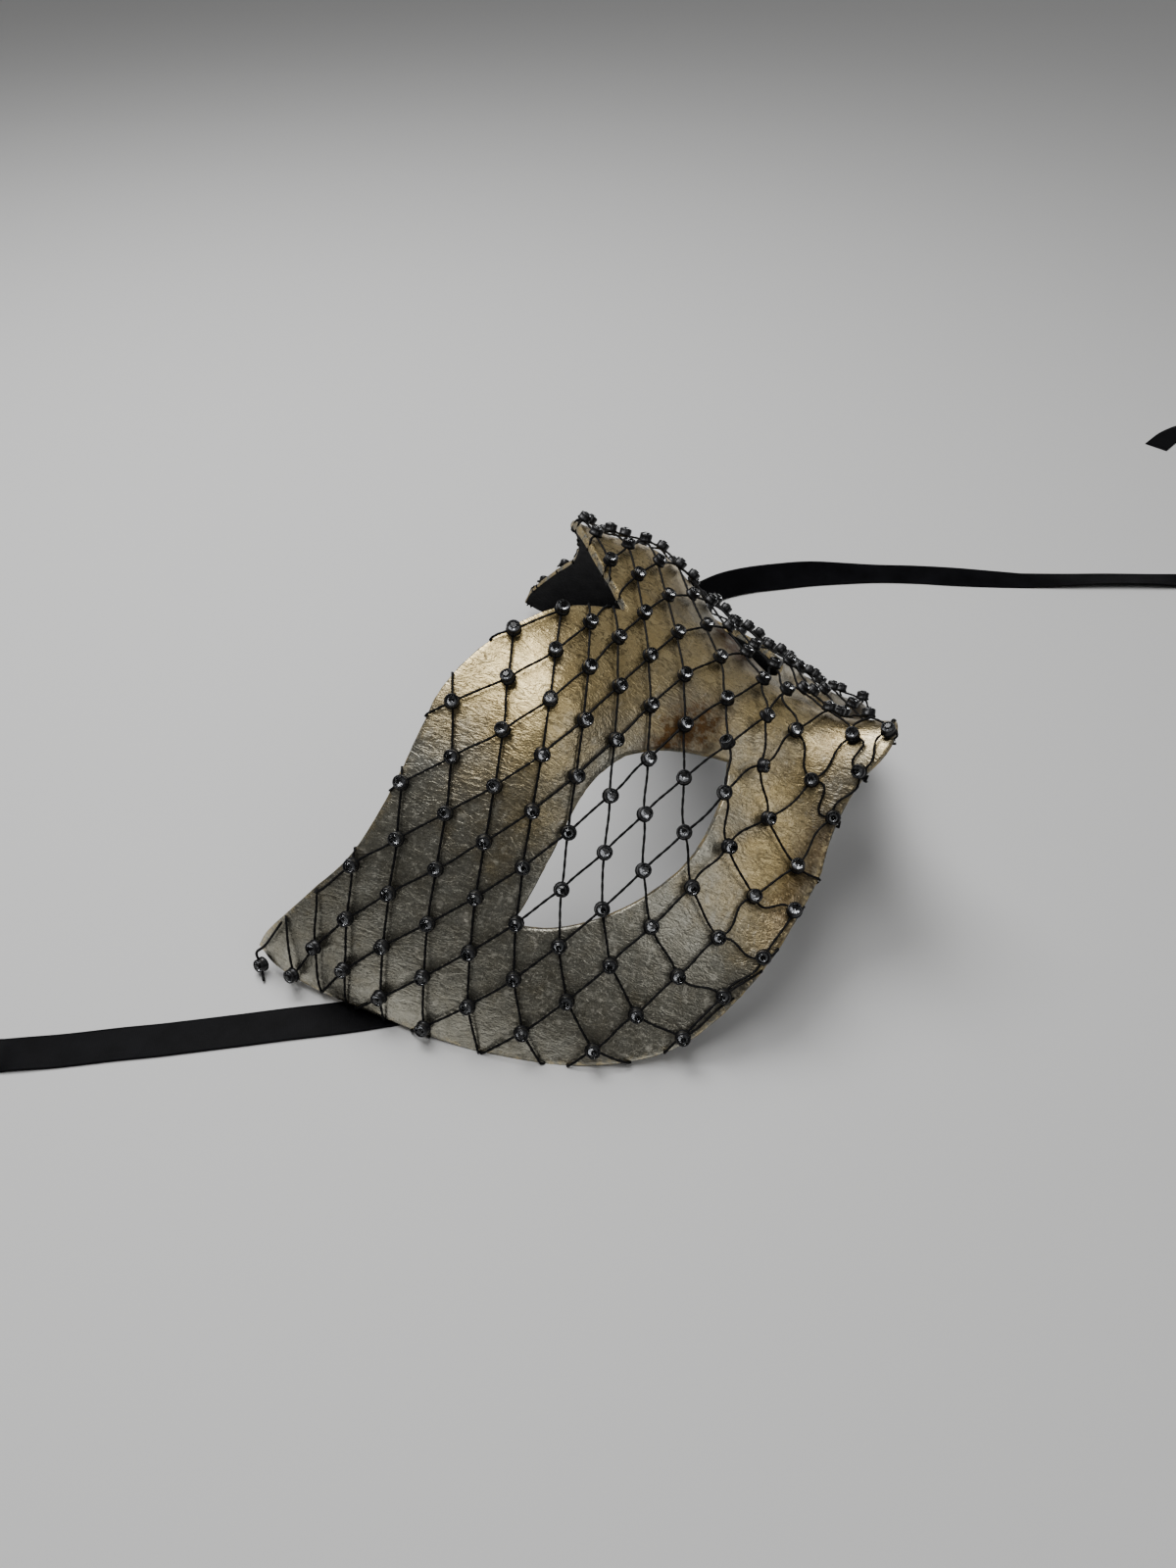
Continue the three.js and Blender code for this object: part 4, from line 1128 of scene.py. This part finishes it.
def turned_rings(frames, profile, sides, offset=0.0):
    """Rings round each cup's axis: middle + r (cos a first + sin a second) + h axis."""
    middle, first, second, axis = frames
    r, h = np.asarray(profile, float).T
    a = np.linspace(0, 2 * math.pi, sides, endpoint=False) + offset
    ring = np.cos(a)[:, None] * first[:, None] + np.sin(a)[:, None] * second[:, None]
    return (middle[:, None, None] + r[None, :, None, None] * ring[:, None]
            + h[None, :, None, None] * axis[:, None, None])


def cup_mesh(frames):
    """Cups: a turned profile of thread wrap, wall and foil cone, closed below and at its tip."""
    points = turned_rings(frames, CUP_WRAP + CUP_WALL + CUP_FOIL, CUP_SIDES)
    cups, rings, sides = points.shape[:3]
    row = np.repeat(np.arange(rings - 1), sides)
    kinds = np.where(row < len(CUP_WRAP), 2, np.where(row < len(CUP_WRAP + CUP_WALL) - 1, 0, 1))
    kinds = np.concatenate([np.tile(kinds, cups), np.full(cups, 2), np.ones(cups)])
    return points.reshape(-1, 3), ring_faces(cups, rings, sides), kinds


def crystal_mesh(frames):
    """Cut crystals: an eight-sided table, twenty-four crown facets and a sixteen-sided point.

    Each has 41 points: 8 round the table, 16 round the girdle's top, 16 round its foot, and its
    own point last.
    """
    table = turned_rings(frames, [CRYSTAL_TABLE], 8, math.pi / 16)[:, 0]
    crown = turned_rings(frames, CRYSTAL_GIRDLE, 16)
    point = turned_rings(frames, [CRYSTAL_POINT], 1)[:, 0]
    points = np.concatenate([table, crown[:, 0], crown[:, 1], point], 1)
    k, n = np.arange(8), np.arange(16)
    t, t2 = k, (k + 1) % 8
    g, g1, g2 = 8 + 2 * k, 8 + 2 * k + 1, 8 + (2 * k + 2) % 16
    low, low2 = 24 + n, 24 + (n + 1) % 16
    triangles = np.concatenate([
        np.stack([t, g, g1], 1), np.stack([t, g1, t2], 1), np.stack([g1, g2, t2], 1),
        np.stack([low2, low, np.full(16, 40)], 1)])
    quads = np.stack([8 + n, low, low2, 8 + (n + 1) % 16], 1)
    first = (np.arange(len(points)) * points.shape[1])[:, None, None]
    blocks = [(triangles[None] + first).reshape(-1, 3), (quads[None] + first).reshape(-1, 4),
              k[None] + first[:, 0]]
    return points.reshape(-1, 3), blocks


def thread_material():
    """Black twisted thread: a dark cloth shade that changes from fibre to fibre."""
    return mottled_material(
        "black_thread", (0.002, 0.00025), (0.002, 0.002, 0.0025), (0.012, 0.012, 0.013),
        (0.2, 0.5), (0.5, 0.00006), shade="Grain", gloss="Tone", Specular_IOR_Level=0.15)


def cup_material():
    """Black enamel on the stamped cup, a little uneven."""
    return mottled_material(
        "black_cup", (0.003, 0.0004), (0.006, 0.006, 0.007), (0.02, 0.02, 0.022),
        (0.12, 0.22), (0.3, 0.00005), Metallic=0.25)


def foil_material():
    """Dark foil under the crystal, brighter in spots."""
    return mottled_material(
        "crystal_foil", (0.0012, 0.0004), (0.002, 0.002, 0.003), (0.028, 0.028, 0.03),
        (0.15, 0.12), Metallic=1.0)


def crystal_material():
    """Clear crystal: see-through, sharp, with the faintest unevenness in its gloss."""
    material, tree, shader = new_material(
        "clear_crystal", Transmission_Weight=1.0, IOR=1.45, Base_Color=(0.4, 0.41, 0.43))
    mottle = placed_finish(tree, "mottle", Patch_Size=0.002, Grain_Size=0.0005)
    fed(tree, shader, Roughness=times(tree, mottle["Tone"], 0.05))
    return material


class CrystalNetSettings(bpy.types.PropertyGroup):
    ply_width: bpy.props.FloatProperty(
        name="Ply width", description="Width of one of a thread's two plies",
        default=0.00054, min=0.0001, max=0.001, unit="LENGTH")
    ply_apart: bpy.props.FloatProperty(
        name="Ply offset", description="How far each ply's middle lies from the thread's",
        default=0.00008, min=0, max=0.001, unit="LENGTH")
    lie: bpy.props.IntProperty(
        name="Lie", description="Number that the loose strands' bows are drawn from", default=11, min=0)


class MASK_OT_net(bpy.types.Operator):
    """Make the net of twisted thread, with its cut ends hooked over the rim"""
    bl_idname = "mask.net"
    bl_label = "Net"

    def execute(self, context):
        settings = context.scene.crystal_net
        rng = np.random.default_rng(settings.lie)
        knots, first = net_knots()
        _, whole, part = strand_ends(knots)
        radius, apart = settings.ply_width / 2 / MM, settings.ply_apart / MM
        points, faces = two_ply(*strand_lines(whole, rng, slackness(whole)), rng, radius, apart)
        more, more_faces = two_ply(*hooked_lines(part, rng), rng, radius, apart)
        faces = faces + shifted(more_faces, len(points))
        points = np.concatenate([points, more])
        more, more_faces = self.loose_thread(knots, first, radius * LOOSE_THREAD_WIDER)
        faces = faces + shifted(more_faces, len(points))
        points = np.concatenate([points, more])
        net = new_piece("net_threads", points * MM, faces, [thread_material()])
        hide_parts("crystal_net")
        return {"FINISHED"}

    def loose_thread(self, knots, first, radius):
        """The thread end that hangs from the last knot, as a tube along a line through its points."""
        last = knots[first[0] + LAST_KNOT[0], first[1] + LAST_KNOT[1]]
        line = smooth_line([on_table(net_point(last)), *LOOSE_THREAD], 8)
        along = unit(np.gradient(line, axis=0))
        across = unit(np.cross(along, [0.1, 0.2, 1.0]))
        return tube(line[None], across[None], np.cross(along, across)[None], radius, PLY_SIDES + 1)


class MASK_OT_crystals(bpy.types.Operator):
    """Make the cups with their foil, and the crystals set in them"""
    bl_idname = "mask.crystals"
    bl_label = "Cups and Crystals"

    def execute(self, context):
        rng = np.random.default_rng(context.scene.crystal_net.lie + 1)
        inside, _, _ = strand_ends(net_knots()[0])
        frames = cup_frames(inside, rng)
        points, faces, kinds = cup_mesh(frames)
        materials = [cup_material(), foil_material(), thread_material()]
        cups = new_piece("crystal_cups", points * MM, faces, materials, kinds)
        points, faces = crystal_mesh(frames)
        crystals = new_piece("crystals", points * MM, faces, [crystal_material()],
                             smooth=False)
        for piece in (cups, crystals):
            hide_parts("crystal_net")
        return {"FINISHED"}


# Ribbons

def centripetal_line(points, steps):
    """A centripetal Catmull-Rom line: stretches weighted by the square root of their length."""
    p = np.asarray(points, float)
    p = np.vstack([2 * p[0] - p[1], p, 2 * p[-1] - p[-2]])
    reach = np.sqrt(np.linalg.norm(np.diff(p[:, :3], axis=0), axis=1))[:, None]
    a, b, c, d = p[:-3], p[1:-2], p[2:-1], p[3:]
    before, here, after = reach[:-2], reach[1:-1], reach[2:]
    start = ((b - a) / before - (c - a) / (before + here) + (c - b) / here) * here
    end = ((c - b) / here - (d - b) / (here + after) + (d - c) / after) * here
    t = np.linspace(0, 1, steps, endpoint=False)[None, :, None]
    b, c, start, end = (v[:, None] for v in (b, c, start, end))
    line = b + t * (start + t * (3 * (c - b) - 2 * start - end + t * (2 * (b - c) + start + end)))
    return np.vstack([line.reshape(-1, p.shape[1]), p[-2]])


def ribbon_line(route, width, rolled):
    """The ribbon's middle and lean along its length, kept clear of the table at every lean."""
    route = np.asarray(route, float)
    if rolled:
        turn = ROLL_START + np.linspace(0, 2 * math.pi * ROLL_TURNS, ROLL_POINTS)
        radius = ROLL_RADIUS - ROLL_PITCH * (turn - ROLL_START) / (2 * math.pi)
        roll = np.stack([ROLL_CENTRE[0] + radius * np.cos(turn), ROLL_CENTRE[1] + radius * np.sin(turn),
                         0 * turn, 90 + 0 * turn], -1)
        route = np.vstack([route, roll])
    line = centripetal_line(route, ROUTE_STEPS)
    lean = np.radians(line[:, 3])
    least = (width / 2 * np.abs(np.sin(lean)) + RIBBON_THICKNESS / 2 * np.abs(np.cos(lean)) + TABLE_GAP)
    middle = line[:, :3].copy()
    middle[:, 2] = np.maximum(middle[:, 2], least)
    return middle, lean


def closed_strip(high, low):
    """One loop of points round a strip's upper and lower faces at each step, and its faces."""
    loop = np.concatenate([high, low[:, ::-1]], 1)
    return loop, ring_faces(1, *loop.shape[:2])


def strip_places(along, across):
    """The strip's own map, in metres: along it, and across it from its middle, for every point."""
    round_it = np.concatenate([across, across[::-1]])
    return np.stack(np.broadcast_arrays(along[:, None], round_it[None]), -1).reshape(-1, 2)


def ribbon_mesh(middle, lean, width):
    """A woven strip: across runs level with the route and leans from flat, and each point is
    middle + v * half width * across, moved out by its share of the thickness and lifted by the
    ripple, which is a sum of sines along the ribbon times the cosine of RIPPLE_ACROSS * v.
    """
    along = unit(np.gradient(middle, axis=0))
    level = unit(np.stack([along[:, 1], -along[:, 0], 0 * along[:, 0]], -1))
    rising = np.cross(level, along)
    across = level * np.cos(lean)[:, None] + rising * np.sin(lean)[:, None]
    upward = np.cross(across, along)
    upward = upward * np.where(upward[:, 2:] < 0, -1, 1)
    v = np.linspace(-1, 1, RIBBON_POINTS)
    thick = np.where(np.abs(v) > WOVEN_EDGE, EDGE_HALF, BODY_HALF) * RIBBON_THICKNESS
    s = np.concatenate([[0], np.cumsum(np.linalg.norm(np.diff(middle, axis=0), axis=1))])
    waves = sum(share * np.sin(s * rate + start) for share, rate, start in RIPPLES)
    ripple = RIPPLE_HEIGHT * waves[:, None] * np.cos(v * RIPPLE_ACROSS)[None]
    ripple = np.maximum(ripple, -RIPPLE_DEPTH)
    flat = middle[:, None] + across[:, None] * (v * width / 2)[None, :, None]
    high = flat + upward[:, None] * (thick[None] + ripple)[..., None]
    low = flat - upward[:, None] * (thick[None] - ripple)[..., None]
    loop, faces = closed_strip(high, low)
    loop[..., 2] = np.maximum(loop[..., 2], LEAST_HEIGHT)
    return loop.reshape(-1, 3), faces, strip_places(s, v * width / 2), s[-1]


def satin_material(settings):
    """Black satin: floats of thread along the ribbon over a fine rib, and a firmer woven edge; paler
    black in patches is a painted sheen, and paler black along the edge a painted highlight.
    """
    material, tree, shader = new_material("black_satin", Specular_IOR_Level=0.06)
    woven = node(tree, "ShaderNodeUVMap", uv_map="along").outputs["UV"]
    parts = node(tree, "ShaderNodeSeparateXYZ", Vector=woven).outputs
    u, v = parts["X"], parts["Y"]
    rib = maths(tree, "SINE", times(tree, u, 2 * math.pi / RIB_SPACING))
    slanted = times(tree, u, 2 * math.pi / FLOAT_LENGTH)
    floats = maths(tree, "SINE", scaled(tree, v, 2 * math.pi / FLOAT_SPACING, slanted))
    out = maths(tree, "ABSOLUTE", maths(tree, "DIVIDE", v, settings.width / 2))
    edge = ramp(tree, out, (0.9, 0.0), (WOVEN_EDGE, 1.0))
    mottle = placed_finish(tree, "mottle", Patch_Size=0.008, Grain_Size=0.0004)
    # painted sheen: paler black in patches
    colour = mixed(tree, mottle["Tone"], settings.black, SATIN_PAINTED_SHEEN)
    # painted highlight: paler black along the woven edge
    colour = mixed(tree, times(tree, edge, 0.5), colour, SATIN_EDGE_HIGHLIGHT)
    rough = scaled(tree, edge, 0.15, scaled(tree, mottle["Grain"], 0.08, 0.42))
    height = scaled(tree, rib, 0.6, times(tree, floats, 0.4))
    fed(tree, shader, Base_Color=colour, Roughness=rough, Normal=bumped(tree, height, 0.35, 0.00004))
    return material


class RibbonSettings(bpy.types.PropertyGroup):
    width: bpy.props.FloatProperty(
        name="Width", description="Width of the satin ribbon", default=0.0095, min=0.002, max=0.05,
        unit="LENGTH")
    black: bpy.props.FloatVectorProperty(
        name="Black", description="The satin's colour", subtype="COLOR",
        default=(0.0015, 0.0015, 0.002), min=0, max=1)


class MASK_OT_ribbons(bpy.types.Operator):
    """Make both ribbons on their routes, with the glued ends inside the temples"""
    bl_idname = "mask.ribbons"
    bl_label = "Ribbons"

    def execute(self, context):
        settings = context.scene.mask_ribbons
        satin = satin_material(settings)
        for name, route, rolled, solids in (
                ("satin_ribbon_left", LEFT_ROUTE, True, ("ribbon_left", "ribbon_left_roll")),
                ("satin_ribbon_right", RIGHT_ROUTE, False, ("ribbon_right",))):
            middle, lean = ribbon_line(route, settings.width, rolled)
            points, faces, uv, length = ribbon_mesh(middle, lean, settings.width)
            ribbon = new_piece(name, points, faces, [satin], uv=uv)
            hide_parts(*solids)
        for name, side in (("ribbon_left_tab", 1), ("ribbon_right_tab", -1)):
            self.glued_end(name, side, satin, settings)
        return {"FINISHED"}

    def glued_end(self, name, side, satin, settings):
        """A flat end inside the temple: the wall's place less its depth, level along the wall."""
        angle, level = side * math.radians(TAB_PLACE[0]), TAB_PLACE[1]
        outward = turned(outward_normal(angle, level))
        middle = on_table(face_form(angle, level)) - outward * (WALL + TAB_DEPTH)
        along = unit(np.array([side * outward[1], -side * outward[0], 0.0]))
        across = np.cross(along, outward)
        u, v = np.linspace(-0.5, 0.5, 15), np.linspace(-0.5, 0.5, 11)
        frayed = 1 + TAB_FRAY * np.sin(v * 40)[None] * (np.abs(u) > 0.49)[:, None]
        flat = (along * (u[:, None] * frayed * TAB_LENGTH / MM)[..., None]
                + across * (v[None, :, None] * settings.width / MM))
        face, out = middle + flat, outward * TAB_HALF_THICKNESS
        loop, faces = closed_strip(face + out, face - out)
        tab = new_piece("glued_" + name, loop.reshape(-1, 3) * MM, faces, [satin],
                        uv=strip_places(u * TAB_LENGTH, v * settings.width))
        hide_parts(name)


# Camera, floor and light

class StageSettings(bpy.types.PropertyGroup):
    floor: bpy.props.FloatVectorProperty(
        name="Floor", description="Colour of the pale floor", subtype="COLOR",
        default=(0.80, 0.80, 0.795), min=0, max=1)
    lens: bpy.props.FloatProperty(
        name="Lens", description="Focal length of the camera, in millimetres", default=CAMERA_LENS,
        min=10, max=200)
    soft_light: bpy.props.FloatProperty(
        name="Soft light", description="Power of the large light overhead", default=1.45, min=0,
        max=500, unit="POWER")
    window_light: bpy.props.FloatProperty(
        name="Window light", description="Power of the large light past the forehead", default=4.3,
        min=0, max=500, unit="POWER")
    room_light: bpy.props.FloatProperty(
        name="Room light", description="Strength of the room's dim light and its glows", default=1.0,
        min=0, max=5)


def area_light(name, power, size, place):
    """A square soft light that faces the middle of the mask."""
    data = bpy.data.lights.new(name, "AREA")
    data.energy, data.size = power, size
    light = bpy.data.objects.new(name, data)
    light.location = place
    direction = Vector(LIGHT_TARGET) - Vector(place)
    light.rotation_euler = direction.to_track_quat("-Z", "Y").to_euler()
    bpy.context.scene.collection.objects.link(light)


class MASK_OT_stage(bpy.types.Operator):
    """Set up the camera, the pale floor and the soft light"""
    bl_idname = "mask.stage"
    bl_label = "Camera, Floor and Light"

    def execute(self, context):
        settings = context.scene.mask_stage
        self.camera(context, settings)
        self.floor(settings)
        self.room(context, settings)
        area_light("overhead", settings.soft_light, OVERHEAD_SIZE, OVERHEAD_PLACE)
        area_light("window", settings.window_light, WINDOW_SIZE, WINDOW_PLACE)
        return {"FINISHED"}

    def camera(self, context, settings):
        """The camera at the photograph's viewing angle."""
        data = bpy.data.cameras.new("camera")
        data.lens, data.sensor_width, data.sensor_fit = settings.lens, SENSOR_WIDTH, "AUTO"
        data.clip_start, data.clip_end = 0.01, 20
        camera = bpy.data.objects.new("camera", data)
        axes = (CAMERA_RIGHT, [-v for v in CAMERA_DOWN], [-v for v in CAMERA_FORWARD])
        place = np.eye(4)
        place[:3, :3] = np.array(axes).T
        place[:3, 3] = CAMERA_PLACE
        camera.matrix_world = Matrix(place.tolist())
        context.scene.collection.objects.link(camera)
        context.scene.camera = camera

    def floor(self, settings):
        """A pale floor, level at the height that the rim rests on."""
        mesh = bpy.data.meshes.new("floor")
        steps = np.linspace(-FLOOR_HALF, FLOOR_HALF, FLOOR_POINTS)
        x, y = np.meshgrid(steps, steps)
        points = np.stack([x, y, 0 * x], -1).reshape(-1, 3)
        mesh.from_pydata(points.tolist(), [], grid_faces(FLOOR_POINTS, FLOOR_POINTS).tolist())
        material, _, _ = new_material("pale_floor", Roughness=0.6, Base_Color=settings.floor)
        mesh.materials.append(material)
        floor = bpy.data.objects.new("floor", mesh)
        bpy.context.scene.collection.objects.link(floor)

    def room(self, context, settings):
        """Dim grey light, brighter overhead, with a soft glow behind the camera, to its right, and a
        weak low one beyond the right wing: each is a ramp on how nearly a direction is its own.
        """
        world = bpy.data.worlds.new("room")
        world.use_nodes = True
        tree = world.node_tree
        places = node(tree, "ShaderNodeTexCoord").outputs["Generated"]
        total = None
        for aim, stops in ROOM_GLOWS:
            towards = node(tree, "ShaderNodeVectorMath", operation="DOT_PRODUCT")
            towards.inputs[1].default_value = aim
            tree.links.new(places, towards.inputs[0])
            glow = ramp(tree, scaled(tree, towards.outputs["Value"], 0.5, 0.5), *stops)
            total = glow if total is None else mixed(tree, 1.0, total, glow, "ADD")
        fed(tree, tree.nodes["Background"], Color=total, Strength=settings.room_light)
        context.scene.world = world


# The add-on

PIECES = (
    ("mask_stage", StageSettings, ("mask.stage",)),
    ("mask_ribbons", RibbonSettings, ("mask.ribbons",)),
    ("mask_shell", MaskShellSettings, ("mask.shell",)),
    ("crystal_net", CrystalNetSettings, ("mask.net", "mask.crystals")),
)


class MASK_PT_panel(bpy.types.Panel):
    """Lists the mask's pieces with their sizes and colours"""
    bl_idname = "MASK_PT_panel"
    bl_label = "Venetian Half Mask"
    bl_space_type = "VIEW_3D"
    bl_region_type = "UI"
    bl_category = "Mask"

    def draw(self, context):
        for name, kind, operators in PIECES:
            box = self.layout.box()
            for prop in kind.__annotations__:
                box.prop(getattr(context.scene, name), prop)
            for operator in operators:
                box.operator(operator)


CLASSES = (*(kind for _, kind, _ in PIECES), MASK_OT_stage, MASK_OT_ribbons, MASK_OT_shell,
           MASK_OT_net, MASK_OT_crystals, MASK_PT_panel)


def register():
    for cls in CLASSES:
        bpy.utils.register_class(cls)
    for name, kind, _ in PIECES:
        setattr(bpy.types.Scene, name, bpy.props.PointerProperty(type=kind))


def unregister():
    for name, _, _ in PIECES:
        delattr(bpy.types.Scene, name)
    for cls in reversed(CLASSES):
        bpy.utils.unregister_class(cls)


def main():
    register()
    bpy.ops.mask.stage()
    bpy.ops.mask.ribbons()
    bpy.ops.mask.shell()
    bpy.ops.mask.net()
    bpy.ops.mask.crystals()


if __name__ == "__main__":
    main()
